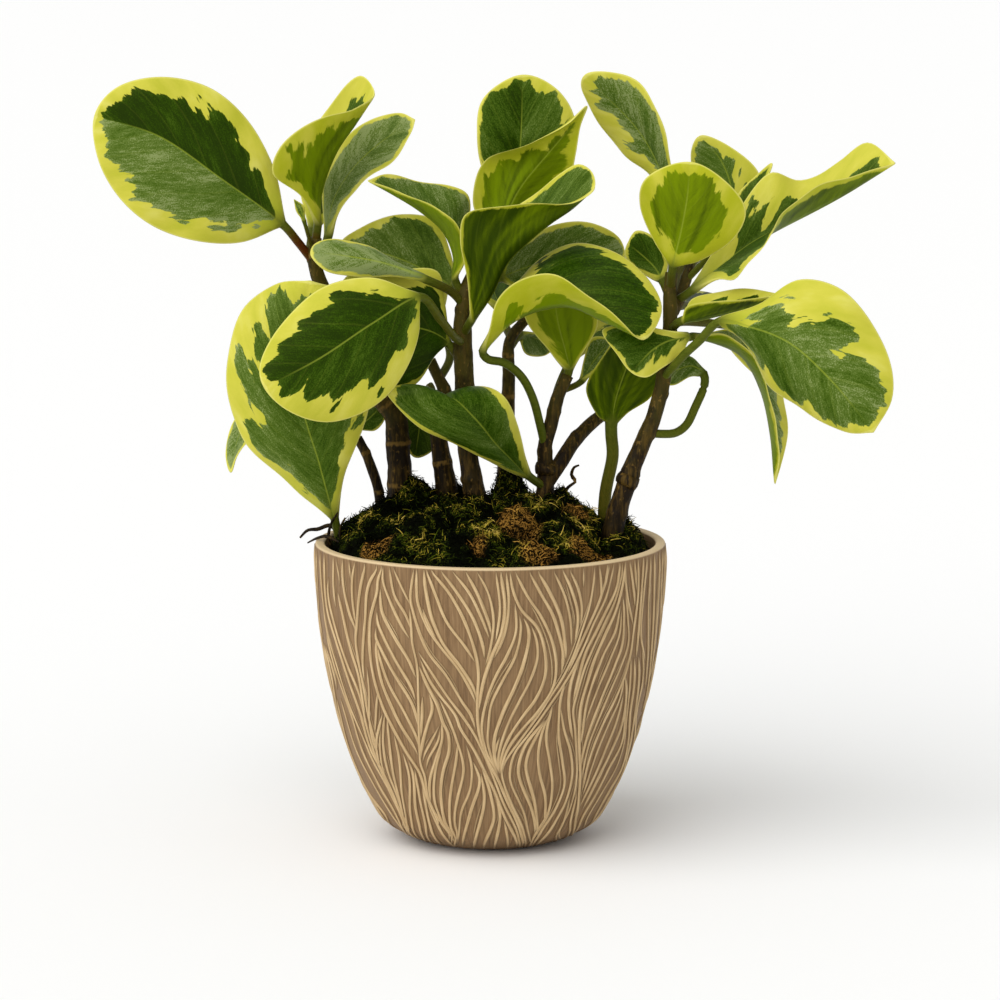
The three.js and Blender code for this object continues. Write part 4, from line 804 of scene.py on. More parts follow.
def leafPiece(name, spec, build, seed):
    around, count = build["around"], build["rings"]
    radius = spec.get("stalkRadius", 1000 * build["stalkRadius"]) / 1000
    stalkLine, tip, (rib, left, right) = leafLines(spec, build)
    u = np.linspace(0, 1, count)
    u[-1] = build["lastRing"]
    axis = headings(rib)
    spread = squared(right - left, axis)
    openSide = spread[int(build["sideAt"] * count)]
    blend = eased((u - build["blendFrom"]) / build["blendOver"])[:, None]
    start = squared(np.tile(openSide, (count, 1)), axis)
    side = squared(spread * blend + start * (1 - blend), axis)
    opening = np.maximum(0, 1 - u / build["fade"]) ** 2
    half = build["thickness"] / 2 + (radius - build["thickness"] / 2) * opening
    half = half * np.sqrt(1 - u ** 10 * build["tipThin"])

    stalkLength = lengthsOf(stalkLine)[-1]
    stalkCount = max(4, round(stalkLength / build["stalkStep"]))
    stalkLine = evenly(stalkLine, stalkCount)
    stalkAxis = headings(stalkLine)[:-1]
    stalkLine = stalkLine[:-1]
    stalkSide = squared(np.tile(openSide, (stalkCount - 1, 1)), stalkAxis)

    # the rings of stalk and blade, one after the other
    centre = np.vstack([stalkLine, rib])
    axis = np.vstack([stalkAxis, axis])
    side = np.vstack([stalkSide, side])
    still = np.zeros_like(stalkLine)
    toLeft = np.vstack([still, left - rib])
    toRight = np.vstack([still, right - rib])
    foot = np.arange(stalkCount - 1)[::-1] * build["stalkStep"]
    flare = 1 + build["stalkFlare"] * np.exp(-(stalkLength - foot) / build["flareLength"])
    half = np.concatenate([radius * flare, half])
    girth = np.concatenate([radius * flare, radius * opening + build["edgeRadius"]])
    reach = np.concatenate([-np.linspace(1, 0.03, stalkCount - 1), u])
    along = np.concatenate([-foot - 0.001, lengthsOf(rib)])

    # each ring runs from the right margin over the underside to the left one and back over the top
    angle = -2 * np.pi * np.arange(around) / around
    across = np.cos(angle)
    amount = abs(across)[None, :, None]
    sign = np.where(across >= 0, 1.0, -1.0)[None, :, None]
    blade = np.where(sign > 0, toRight[:, None], toLeft[:, None])
    width = np.linalg.norm(blade, axis=-1, keepdims=True)
    span = blade + side[:, None] * sign * girth[:, None, None]
    face = np.cross(side, axis)[:, None]
    lift = unit(np.cross(span, np.broadcast_to(axis[:, None], span.shape)) * sign)
    share = np.clip(amount / build["roundEdge"], 0, 1)
    normal = unit(lift * share + face * (1 - share))
    bow = np.where(sign > 0, spec["bow"][1], spec["bow"][0])
    wave = np.sin(2 * np.pi * along[:, None, None] / build["rippleLength"] + seed + sign)
    ripple = build["ripple"] * wave * amount ** 2 * np.clip(width / build["rippleWidth"], 0, 1)
    swell = bow * width * 4 * amount * (1 - amount)
    swell = swell + ripple + half[:, None, None] * np.sin(angle)[None, :, None]
    points = (centre[:, None] + span * amount + normal * swell).reshape(-1, 3)
    marks = leafMarks(spec, build, seed, angle, along, reach, width[:, :, 0] * 1000, girth)
    faces = skinFaces(len(centre), around)
    return meshPiece(name, np.vstack([points, stalkLine[:1], tip]), faces, marks)


leafMaterial = leafFinish(leafLook)
for number, (node, spec) in enumerate(leafRails.items()):
    piece = leafPiece("fine_" + node, spec, leafBuild, 1.7 * number)
    finished(piece, leafMaterial, "leaf_green", node)
print("leaves made:", len(leafRails))


# Stems

stemLook = {
    "soil": (14, 9, 2), "bark": (28, 18, 4), "warm": (90, 68, 24), "green": (60, 66, 6),
    "spot": (9, 7, 1), "fleck": (150, 116, 52), "greenFrom": 0.14, "greenTo": 0.195,
    "soilTo": 0.14, "soilFrom": 0.12, "roughness": 0.6,
}
# Each shoot: its path from the moss upwards, and the radius in mm at each point
stemPaths = {
    "stem_left": [
        ([(-36, 16, 26), (-37, 41, 26), (-38, 50, 26), (-46, 60, 26), (-58, 80, 26), (-66, 98, 25),
            (-70.5, 112, 24), (-69.8, 121, 23)], [6, 5.5, 5, 4.5, 4, 3.3, 3, 2.5]),
    ],
    "stem_left_small": [
        ([(-44, 16, 32), (-49, 33, 32), (-53, 41, 32)], [2.3, 2.1, 1.9]),
    ],
    "stem_middle_rear": [
        ([(-17, 16, 26), (-20.5, 40, 27), (-22.5, 60, 28)], [5, 4, 2.6]),
    ],
    "stem_middle": [
        ([(-5, 8, 10), (-9, 36, 10), (-10, 58, 10), (-10.5, 70, 10), (-11, 85, 10), (-9, 100, 12),
            (-3, 112, 18), (6, 125, 20)], [5.5, 5, 4, 4, 4, 3.5, 3, 2.4]),
        ([(-9, 36, 10), (-16.5, 56, 17), (-24, 72, 20)], [3, 2.6, 2.2]),
    ],
    "stem_rear": [
        ([(5, 14, 34), (7, 45, 34), (7.5, 65, 34), (8, 80, 34), (14, 88, 36)], [4, 3, 2.8, 2.5, 2]),
    ],
    "stem_forked": [
        ([(22, 12, 20), (22, 30, 20), (22, 38, 20), (24.5, 47, 20), (27, 57, 21), (31, 66, 22)],
            [4.6, 4, 3.6, 3, 2.8, 2.4]),
        ([(21.9, 26.5, 20), (22.1, 31, 20)], [3.9, 4.4, 3.7]),
        ([(22, 22, 20), (26, 28, 21), (34, 40, 26), (42, 48, 31), (52, 54, 36)], [3, 3, 2.8, 2.6,
            2.2]),
    ],
    "stem_right": [
        ([(49, 2, -5), (55, 24, -5), (61.6, 40, -5), (65.7, 50, -5), (68.5, 60, -5), (70, 70, -5),
            (72, 84, -3), (72, 98, 0), (72.5, 107, 2)], [5, 4.5, 4, 3.7, 3.2, 3, 3, 2.8, 2.4]),
        ([(54, 22, -5), (56, 26.2, -5)], [4.4, 4.95, 4.25]),
        ([(72, 90, -2), (76, 97, 6), (80, 110, 14)], [2.6, 2.4, 2]),
    ],
}
stemBuild = {
    "around": 28, "step": 0.0011, "knotApart": 0.017, "knotSize": 0.16, "knotLength": 0.0012,
    "knotShift": 0.004, "rootDepth": 0.088, "uneven": 0.09, "unevenScale": 130,
}


def stemFinish(look):
    g = Finish("fleshy stem", Specular_IOR_Level=0.12)
    hue = hues(look)
    x, y, z = g.parts(g.place())
    knot, height, number = g.parts(g.mark("stemMark"))
    lines = g.noise(g.vector(x * 700, y * 700, z * 90), detail=3, roughness=0.65)
    patches = g.noise(g.vector(x * 150, y * 150, z * 80 + number), detail=4, roughness=0.6)
    flecks = g.noise(g.vector(x * 600, y * 600, z * 420), detail=2)
    fresh = g.step(z + (patches - 0.5) * 0.08, look["greenFrom"], look["greenTo"])
    colour = g.mix(g.step(lines + (patches - 0.5) * 0.8, 0.38, 0.72), hue["bark"], hue["warm"])
    colour = g.mix(fresh * 0.85, colour, g.mix(lines, hue["green"], hue["warm"]))
    colour = g.mix(g.step(patches, 0.48, 0.66) * 0.7, colour, hue["spot"])
    colour = g.mix(g.step(flecks, 0.6, 0.72) * 0.35, colour, hue["fleck"])
    colour = g.mix(g.step(knot, 0.35, 0.8) * g.step(flecks, 0.35, 0.55) * 0.5, colour, hue["fleck"])
    colour = g.mix(g.step(z, look["soilTo"], look["soilFrom"]) * 0.7, colour, hue["soil"])
    height = lines * 0.5 + flecks * 0.4 + patches * 0.6
    return g.wear(colour, look["roughness"] + (lines - 0.5) * 0.2, height, 0.6, 0.0009)


def tubePiece(name, path, radii, build, seed):
    rough = smoothLine(path)
    line = evenly(rough, max(4, round(lengthsOf(rough)[-1] / build["step"])))
    axis = headings(line)
    run = lengthsOf(line)
    base = np.interp(np.linspace(0, len(radii) - 1, len(line)), range(len(radii)), radii)
    side, around = np.array([1.0, 0, 0]), build["around"]
    points, marks = [], []
    for i, centre in enumerate(line):
        side = squared(side, axis[i])
        other = np.cross(axis[i], side)
        apart = (run[i] + seed * build["knotShift"]) % build["knotApart"]
        knot = math.exp(-(min(apart, build["knotApart"] - apart) / build["knotLength"]) ** 2)
        for k in range(around):
            a = 2 * math.pi * k / around
            way = math.cos(a) * side + math.sin(a) * other
            spot = Vector(centre * build["unevenScale"] + way * 0.9 + seed)
            uneven = noise.noise(spot) + 0.4 * noise.noise(spot * 3.1)
            bulge = build["knotSize"] * knot * (0.55 + 0.45 * math.sin(a + seed + i * 0.02))
            points.append(centre + way * base[i] * (1 + bulge + build["uneven"] * uneven))
            marks.append((knot, run[i], seed))
    points = np.vstack([np.array(points), line[:1], line[-1:]])
    marks += [(0, 0, seed), (0, 0, seed)]
    return meshPiece(name, points, skinFaces(len(line), around), {"stemMark": marks})


def joined(pieces):  # several closed pieces as one solid
    first = pieces[0]
    for other in pieces[1:]:
        union = first.modifiers.new("join", "BOOLEAN")
        union.operation = "UNION"
        union.solver = "EXACT"
        union.object = other
    plainMesh(first)
    for other in pieces[1:]:
        bpy.data.objects.remove(other)
    first.data.shade_smooth()
    return first


stemMaterial = stemFinish(stemLook)
for number, (node, shoots) in enumerate(stemPaths.items()):
    tubes = []
    for i, (path, radii) in enumerate(shoots):
        path = placed(path)
        radii = [r / 1000 for r in radii]
        if i == 0:
            path = np.vstack([[path[0][0], path[0][1], stemBuild["rootDepth"]], path])
            radii = radii[:1] + radii
        name = "shoot" if i else "fine_" + node
        tubes.append(tubePiece(name, path, radii, stemBuild, number + 3 * i))
    piece = joined(tubes) if len(tubes) > 1 else tubes[0]
    finished(piece, stemMaterial, "stem_bark", node)
print("stems made:", len(stemPaths))

# Dry twigs and a curled wisp that lie on the moss
twigs = {
    "twig_left": (
        [(-76, 1, 6), (-73, 4, 5.5), (-69, 4.5, 5), (-64, 6, 4.4), (-60, 3, 4), (-56, 4, 3)],
        [0.4, 0.7, 0.8, 0.9, 0.8, 0.5]),
    "twig_left_low": (
        [(-73, -1, 3), (-69, 1, 0), (-65, 1.5, -4), (-60, -1, -8)],
        [0.3, 0.6, 0.7, 0.5]),
    "wisp_rear": (
        [(29, 17, 26), (31, 21, 26), (34, 23.5, 27), (32.5, 26, 27), (33.5, 29, 26),
            (35.5, 30, 25)],
        [0.7, 0.8, 0.6, 0.8, 0.6, 0.4]),
    "fibre_left": (
        [(-62, -6, -1), (-64.5, 0, -2), (-63.5, 7, -4), (-61, 11, -5)],
        [0.5, 0.6, 0.5, 0.3]),
    "fibre_left_inner": (
        [(-57, -8, -4), (-59.5, -2, -5), (-60, 5, -6), (-58, 9, -7)],
        [0.4, 0.5, 0.5, 0.3]),
}
twigBuild = {**stemBuild, "around": 10, "uneven": 0.35}
for number, (name, (path, radii)) in enumerate(twigs.items()):
    twig = tubePiece(name, placed(path), [r / 1000 for r in radii], twigBuild, number)
    finished(twig, stemMaterial, "stem_bark")


# Pot: a wall turned on its axis, and raised lines that stream down it

potBuild = {
    "height": 0.12, "rimRadius": 0.07, "footRadius": 0.036, "wall": 0.004, "floor": 0.005,
    "standRadius": 0.026, "footRing": 0.012, "cornerHeight": 0.011, "innerCorner": 0.015,
    "lip": 0.0011, "flare": 2, "belly": 0.72, "sides": 256,
    "floorCorner": [(0.005, 0.004), (0.012, 0)],  # in from the inner wall and up from the floor
    "cornerRows": 14, "wallRows": 60, "lipRows": 5, "insideRows": 24,
    "sightBack": (-78, 4, 165),  # where the wall is looked for along a line of sight
}
lineBuild = {
    "seed": 12, "radius": 0.00074, "sunk": 0.00004, "top": 0.1189, "bottom": 0.001, "rows": 78,
    "profile": 6, "pathSteps": 10,
    "footLine": -109, "nearLip": 7,  # lines that end nearer than this to foot or lip go on to it
    "backStretch": 1.26, "backSize": 1.1, "apart": 1.9,
    # lines at the sides: the share of the gap at which each lies, and the least degrees of gap
    "sideLines": [(0.5, 5), (0.25, 9), (0.75, 9), (0.12, 17), (0.38, 17), (0.62, 17), (0.88, 17)],
    "sideEase": 9, "sideSize": 0.95,
    # thin strands beside the lines: girth, how many mm away, the share of lines that have one, and
    # the share of its line that a strand is long
    "strand": 0.5, "strandGap": 1.8, "strandShare": 0.4, "strandLength": (0.35, 0.75),
    # how far lines sway in mm in front and behind, and how uneven their girth is
    "sway": 0.9, "backSway": 7, "backFrom": 80, "backOver": 40, "swayScale": (2.2, 32),
    "uneven": 0.16, "unevenScale": 3.5, "seedStep": 1.37,
}
# The raised lines of the front, each from its top end down, as pairs of mm right and up as seen
carved = [
    (-69, -9, -68.5, -20, -68, -30, -66.5, -40), (-67.5, -10, -67, -19.5, -65, -35.5, -61, -50.5,
      -56.5, -64, -51, -77.5, -46, -89.5, -40, -100.5, -34, -113.5, -30.5, -118.5), (-66, -10,
      -65, -26.5, -61.5, -40, -57, -54, -51.5, -69.5, -47.5, -83, -42.5, -93, -37, -105,
      -31, -117.5), (-64.5, -14, -64.5, -22, -61.5, -35, -57, -49.5, -52, -61.5, -48.5, -76,
      -44.5, -89.5, -39.5, -100.5), (-65.5, -36, -62.5, -48.5, -58.5, -60.5, -55, -70, -50.5, -84.5,
      -45, -96.5, -37.5, -109.5, -34.5, -115.5), (-60, -62, -57.5, -70, -53, -84, -47, -96.5,
      -39.5, -109, -35.5, -114.5), (-61.5, -62, -59.5, -70, -55, -86, -49, -99.5, -41.5, -110,
      -38, -114.5), (-62.5, -12, -62.5, -18.5, -61.5, -28), (-61.5, -8.5, -60.5, -14, -60, -18.5),
    (-61, -20, -58.5, -30.5, -56, -41.5, -52.5, -53.5, -50.5, -64.5, -49.5, -70), (-59, -8.5,
      -58.5, -17.5, -56, -29.5, -54, -34, -53.5, -37), (-56.5, -8.5, -56, -13, -55.5, -17),
    (-54, -8.5, -55, -15, -55, -22, -53.5, -33.5), (-50, -11.5, -51.5, -18.5, -53, -33.5,
      -53.5, -40, -52.5, -47, -50, -60.5, -48.5, -69.5, -45.5, -82, -44, -91, -41.5, -96.5,
      -35, -109, -32.5, -114.5), (-45, -12, -47.5, -16, -49, -21, -49.5, -31.5, -50.5, -42.5,
      -50.5, -48, -50, -57), (-43, -11.5, -44.5, -16, -45, -21, -47.5, -31.5, -47.5, -43.5,
      -46, -55, -43, -65.5, -38.5, -75.5, -33, -85, -28, -93, -25, -102, -20.5, -112), (-49, -49.5,
      -48, -60.5, -47.5, -75.5, -45, -86), (-45, -38, -45, -44.5, -43, -56.5, -39, -66.5,
      -35, -74.5, -30, -82.5, -28, -87), (-44.5, -42, -43.5, -47, -40, -57.5, -33.5, -69.5,
      -29, -79, -28, -83), (-45, -33.5, -45, -38.5, -43, -43.5, -37.5, -54, -31.5, -64,
      -29.5, -69.5, -28.5, -74.5), (-45, -28, -44.5, -33, -42.5, -38, -37.5, -48, -31.5, -58.5,
      -29.5, -64.5), (-43.5, -19, -43.5, -24, -42.5, -29, -37.5, -39, -32, -48.5, -30, -53.5,
      -29, -56), (-42.5, -12, -42.5, -16.5, -40, -24, -36, -32.5, -31, -41), (-40, -12, -38, -22,
      -33.5, -30, -31, -37), (-38.5, -11, -35, -19.5, -31, -27.5), (-32.5, -26, -31.5, -35,
      -31, -40.5, -29, -50, -28.5, -62, -28, -80, -27.5, -89.5, -26, -94, -24, -104, -19.5, -112,
      -14, -120), (-30.5, -11.5, -31.5, -17.5, -32, -23, -31, -28, -27.5, -38.5, -24.5, -45,
      -18, -53.5, -11, -64.5, -7.5, -69.5, -5, -77), (-29, -44, -24, -52, -17.5, -61.5, -11, -70,
      -5.5, -78, -1.5, -86.5, 2, -96, 5, -105, 9.5, -115, 11, -120), (-28.5, -46, -24, -56,
      -20, -62, -13.5, -70, -11.5, -75, -6, -83.5, -2, -92, 2, -101, 5.5, -111, 9.5, -119),
    (-28.5, -50, -25, -58, -21, -66, -18.5, -73, -16.5, -77, -16, -84, -18.5, -91.5, -19.5, -97.5,
      -19.5, -103, -17.5, -113, -15, -117.5), (-20.5, -62.5, -16.5, -71, -13, -79.5, -10.5, -88.5,
      -10.5, -93, -13, -103, -14, -108.5, -14, -113, -13, -117.5), (-29.5, -12, -29.5, -18.5,
      -29, -25, -25, -35, -20, -42.5, -13.5, -50.5, -7.5, -60.5, -5, -66.5), (-27.5, -26,
      -25.5, -32, -21, -41), (-26.5, -12, -26, -19, -23.5, -31, -18.5, -42, -12, -50.5, -6.5, -59.5,
      -5, -65), (-25.5, -12.5, -22, -22, -17.5, -32.5, -10.5, -42, -6, -49), (-23.5, -12.5,
      -16.5, -21, -11, -30.5, -7, -41.5, -5, -52.5, -5, -63.5, -4, -76.5, -1, -86.5, 3, -95,
      6.5, -104, 10.5, -113.5, 12, -118.5), (-19.5, -12.5, -13, -21, -6.5, -31.5, -3, -42.5,
      -2.5, -48.5), (-15, -12.5, -8, -21, -3, -31.5, 0, -40.5), (-9.5, -12.5, -4.5, -22,
      -0.5, -32.5, 0.5, -38), (-5, -12.5, -0.5, -21, 1.5, -31.5, 0, -42.5, -2.5, -51), (2.5, -13,
      4, -24, 4, -29.5, 2, -41), (4.5, -14, 6, -26, 4.5, -37, 0, -47, -3, -57, -4.5, -69.5),
    (6.5, -13, 7.5, -26, 5.5, -37.5, 1, -47.5), (8, -13, 9, -19.5, 12.5, -28, 18.5, -35, 21, -43.5,
      21, -54, 17.5, -63.5, 12.5, -70.5, 7, -80, 4.5, -88.5, 4.5, -94), (10, -25, 10, -36.5,
      6.5, -45.5, 1.5, -55, -1.5, -64.5, -3, -75.5, -0.5, -86, 1.5, -89.5, 3.5, -94.5), (11.5, -29,
      12, -35.5, 9.5, -46, 4.5, -56, 0.5, -65.5, -0.5, -75.5, -0.5, -81, 2, -89.5, 4, -94),
    (12.5, -30, 14.5, -34, 15, -39, 12.5, -49.5, 9, -59, 4.5, -70, 2, -79.5, 2.5, -88.5, 4.5, -94),
    (16, -34, 18, -40.5, 18, -47, 15.5, -55, 11, -64.5, 6.5, -75, 3.5, -88.5, 4.5, -94),
    (4.5, -77.5, 3, -82, 2.5, -86), (10, -13, 14.5, -22, 20, -30.5, 24, -39.5, 25.5, -50, 24, -59.5,
      18.5, -68.5, 13.5, -74.5, 7.5, -83, 5, -90, 4.5, -95), (15.5, -13, 20, -21.5, 25, -30.5,
      27.5, -39.5, 28.5, -45, 27.5, -54), (19, -13, 23.5, -21, 28, -31.5, 29.5, -42.5, 29.5, -48.5),
    (25, -12.5, 29.5, -22.5, 32, -32.5, 32, -43), (28.5, -12, 32.5, -20.5, 35, -30.5, 33.5, -41),
    (31.5, -12, 35, -20, 36.5, -27, 36, -34.5), (37, -11, 37, -19), (41.5, -12, 41, -17,
      39.5, -26.5, 37, -35, 33.5, -44, 29, -53.5, 23, -63, 18, -71, 11.5, -80.5, 6, -89, 5, -94),
    (43.5, -11, 44, -22, 43, -27), (46.5, -11, 46, -16, 44.5, -22), (47, -11.5, 43, -25, 39, -34.5,
      34, -45, 29.5, -54.5), (49, -11, 46, -23, 41.5, -32.5, 37.5, -41.5, 33, -50.5, 27.5, -59.5,
      21.5, -68.5, 16, -76.5, 10, -85, 8, -93.5, 8.5, -97.5, 12.5, -108, 15, -118.5), (51.5, -11,
      50, -19.5, 46, -28.5, 42, -37, 37.5, -45, 35, -54, 33, -63, 32.5, -66), (35, -46.5, 31.5, -57,
      31, -66, 32.5, -76, 33.5, -80), (52.5, -13.5, 50, -23.5, 45.5, -33.5, 41, -42.5, 37, -51.5,
      34, -62, 33, -68, 34, -76.5, 34.5, -88.5, 33.5, -97.5, 31, -107.5, 27, -116.5), (54, -8.5,
      52.5, -18.5, 50, -28.5, 45.5, -38.5, 41, -48.5, 38, -57.5, 36, -66.5, 35.5, -79.5, 35.5, -92,
      34.5, -105, 33, -115.5), (52, -25.5, 50, -36, 45, -45.5, 41, -55.5, 38, -66.5, 37, -75,
      36, -82), (52.5, -27, 51.5, -37.5, 47.5, -48, 43, -58, 40, -67, 37.5, -74), (53, -22,
      53.5, -31, 52.5, -41.5, 49, -51, 45, -61, 41.5, -70.5, 38.5, -79, 36, -88.5, 35.5, -93),
    (54, -20, 55, -31, 55, -41.5, 52, -50.5, 47.5, -60.5, 43, -71.5, 39.5, -81, 37, -90.5, 36, -96),
    (53.5, -14, 55, -24, 57, -34), (55.5, -9, 57, -19, 58, -27.5), (57.5, -8.5, 58, -15, 58.5, -20),
    (59, -8.5, 59, -21, 57.5, -34, 56, -45, 53.5, -54, 49.5, -64, 45.5, -72, 41.5, -81.5, 38, -91.5,
      36, -100.5), (53.5, -54, 51, -64.5, 47.5, -72.5, 43, -82.5, 39.5, -92, 36, -102.5), (53, -61,
      50, -73, 45.5, -83.5, 41.5, -93, 37, -102.5, 35, -107), (53.5, -53.5, 54, -61, 52, -74,
      47.5, -85, 43, -94, 38, -104, 36, -108.5), (54, -58, 53.5, -70.5, 52, -81.5, 47, -91,
      42, -101, 36.5, -110.5, 34.5, -115), (56, -46, 55.5, -58, 54, -72, 52.5, -83.5, 49.5, -92,
      44, -101.5, 38, -112), (57.5, -47, 57, -58, 55.5, -70, 54.5, -82, 52, -91.5, 47, -100.5,
      41.5, -110.5), (59, -46, 59, -56, 57, -72, 54.5, -85.5, 51.5, -95, 46.5, -104, 44, -108.5),
    (60.5, -43, 60.5, -56, 58, -70, 56, -84, 52.5, -94.5, 50.5, -99), (61, -8.5, 60, -24,
      58.5, -41.5, 58, -47), (62.5, -8.5, 61, -23.5, 60, -38, 61.5, -48.5), (64, -8.5, 63, -26.5,
      62.5, -47, 61.5, -60), (65.5, -8.5, 65, -26.5, 64, -44.5, 62, -62, 60, -70), (67.5, -8.5,
      66.5, -26.5, 65, -44.5, 63.5, -56), (68.5, -8.5, 68, -19.5, 66.5, -42.5), (22, -71.5,
      17, -77.5, 14, -82, 11.5, -91, 12, -96, 16, -107.5, 17, -113), (22.5, -71, 19, -77, 15, -86.5,
      14.5, -91.5, 17, -103, 18, -115), (23, -70, 20.5, -77.5, 19.5, -86, 20, -94, 21.5, -102,
      21, -111), (24.5, -65, 22.5, -77.5, 24, -88.5, 24.5, -99, 22, -109.5, 17, -118, 15.5, -121.5),
    (29.5, -55.5, 27.5, -64, 27.5, -77.5, 29, -88.5, 29, -98.5, 24.5, -108.5, 19.5, -116.5,
      17, -120.5), (27.5, -66, 29.5, -75, 32, -83.5, 32.5, -93, 29.5, -104, 24.5, -113.5,
      19, -120.5), (5, -90, 5, -95, 8, -105, 12, -114.5, 13.5, -120), (31.5, -101, 28.5, -113,
      26, -117.5), (34, -100, 31.5, -113, 30.5, -118), (-42.5, -68, -44, -74.5, -45, -79, -45, -85),
    (-44.5, -59, -45.5, -72, -46, -78), (-42, -69.5, -42.5, -82, -40.5, -93, -36.5, -103,
      -34.5, -110), (-43.5, -74, -44, -82, -42.5, -92, -40, -98), (-41, -70.5, -40, -82, -38.5, -93,
      -35.5, -105, -34.5, -111), (-38.5, -76, -36, -87.5, -35, -99.5, -33, -112, -30, -118.5),
    (-35, -84, -32, -94, -31.5, -106, -29, -118), (-32.5, -87.5, -30.5, -93.5, -29.5, -105,
      -26.5, -118), (-30, -91, -27.5, -104, -25, -115, -23.5, -120), (-27, -96, -24.5, -109.5,
      -20, -120.5), (-25, -104, -20.5, -113.5, -15, -121.5), (-27, -62, -27, -70, -27.5, -80),
    (-24.5, -60, -23, -67, -25, -74, -27, -83, -27.5, -88), (-19.5, -73, -22, -78, -26, -85.5,
      -27, -90), (-19.5, -74, -20.5, -80, -24.5, -87.5, -25.5, -92), (-19, -72, -19, -80,
      -21.5, -87.5, -24, -96.5, -23.5, -105), (-19, -82, -22, -93, -22, -104, -19, -112, -16, -117),
    (-12.5, -80, -13, -86.5, -16, -104, -15.5, -114.5, -13.5, -119), (-9.5, -80, -7, -90.5,
      -8, -99.5, -11.5, -108.5, -12.5, -118), (-6.5, -88, -4, -96, -7.5, -107, -10.5, -118.5),
    (-3.5, -92, -2.5, -104, -6, -119.5), (-3, -90, 0, -101.5, 1, -111.5, -2.5, -121.5), (2, -101,
      3.5, -110, 1.5, -122), (4.5, -110, 6, -116.5, 6.5, -121.5),
]


def wallRadius(z, build):
    free = build["footRadius"] + (build["rimRadius"] - build["footRadius"]) * (
        1 - (1 - z / build["height"]) ** build["flare"]) ** build["belly"]
    if z >= build["cornerHeight"]:
        return free
    rounding = math.sqrt(max(0, 1 - (1 - z / build["cornerHeight"]) ** 2))
    return build["standRadius"] + (free - build["standRadius"]) * rounding


def potWall(build):
    top, lip, wall = build["height"], build["lip"], build["wall"]
    corner, innerCorner, floor = build["cornerHeight"], build["innerCorner"], build["floor"]
    heights = list(corner * (1 - np.cos(np.linspace(0, np.pi / 2, build["cornerRows"])))[:-1])
    heights += list(np.linspace(corner, top - lip, build["wallRows"]))
    profile = [(build["footRing"], 0.0)] + [(wallRadius(z, build), z) for z in heights]
    rim = wallRadius(top - lip, build)
    for a in np.linspace(0.15, 0.5, build["lipRows"]) * np.pi:
        profile.append((rim - lip + lip * math.cos(a), top - lip + lip * math.sin(a)))
    inner = rim - wall
    for a in np.linspace(0.5, 0, build["lipRows"] + 1) * np.pi:
        profile.append((inner + lip - lip * math.cos(a), top - lip + lip * math.sin(a)))
    for z in np.linspace(top - lip - 0.002, innerCorner, build["insideRows"]):
        profile.append((wallRadius(z, build) - wall, z))
    low = wallRadius(innerCorner, build) - wall
    profile += [(low - inward, floor + up) for inward, up in build["floorCorner"]]
    around = build["sides"]
    angle = 2 * np.pi * np.arange(around) / around
    points = [(r * math.cos(a), r * math.sin(a), z) for r, z in profile for a in angle]
    wide = build["rimRadius"] * 1000
    place = [(wide * math.cos(a), wide * math.sin(a), z * 1000) for r, z in profile for a in angle]
    points += [(0, 0, 0), (0, 0, floor)]
    place += [(0, 0, 0), (0, 0, floor * 1000)]
    return meshPiece("fine_pot", points, skinFaces(len(profile), around), {"potPlace": place})


def onWall(right, up, pot):  # turn in degrees and height in mm where the sight line meets the wall
    ray = placed([(right, up, back) for back in np.linspace(*pot["sightBack"])])
    clear = []
    for x, y, z in ray:
        clear.append(math.hypot(x, y) - wallRadius(min(max(z, 0.0005), pot["height"]), pot))
    inside = [i for i, gap in enumerate(clear) if gap < 0]
    x, y, z = ray[inside[0] if inside else int(np.argmin(clear))]
    return math.degrees(math.atan2(x, -y)), z * 1000


def wrapped(turns):
    return (turns + 180) % 360 - 180


def stretches(turns, first, clear):  # the parts of a line that stay clear of the others
    turning = np.flatnonzero(np.diff(np.concatenate([[0], clear, [0]]).astype(int)))
    return [(turns[a:b], first + a) for a, b in zip(turning[::2], turning[1::2]) if b - a > 6]


# A run is a line as one turn in degrees for each height that it reaches, and the first height's row

def frontRuns(build, lines, pot, heights):
    runs, tall = [], heights * 1000
    for flat in lines:
        flat = list(flat)
        if flat[-1] < build["footLine"]:
            flat += [flat[-2] * 1.02 - flat[-4] * 0.02, flat[-1] - 4]
        spots = [onWall(right, up, pot) for right, up in zip(flat[::2], flat[1::2])]
        path = smoothLine(spots[::-1], build["pathSteps"])
        order = np.argsort(path[:, 1])
        turns = np.interp(tall, path[order, 1], path[order, 0])
        reach = path[:, 1].max()
        upTo = tall[-1] + 1 if reach > tall[-1] - build["nearLip"] else reach
        there = np.nonzero((tall > path[:, 1].min()) & (tall < upTo))[0]
        if len(there) > 3:
            runs.append((turns[there[0]:there[-1] + 1], there[0]))
    return runs


def edgesOf(runs, count, start, pick):  # how far round the runs come on either side at each height
    edges = {}
    for side in (-1, 1):
        edges[side] = np.full(count, float(start))
        for turns, first in runs:
            turned = side * wrapped(turns)
            rows = np.arange(first, first + len(turns))[turned > 0]
            edges[side][rows] = pick(edges[side][rows], turned[turned > 0])
    return edges


def backRuns(build, front, edges):  # the same flow turned round, up to where it meets the front
    runs = []
    for turns, first in front:
        turns = 180 - turns * build["backStretch"]
        rows = slice(first, first + len(turns))
        limit = np.where(wrapped(turns) < 0, edges[-1][rows], edges[1][rows])
        kept = stretches(turns, first, abs(wrapped(turns)) > limit + build["apart"])
        if kept:
            runs.append(max(kept, key=lambda part: len(part[0])))
    return runs


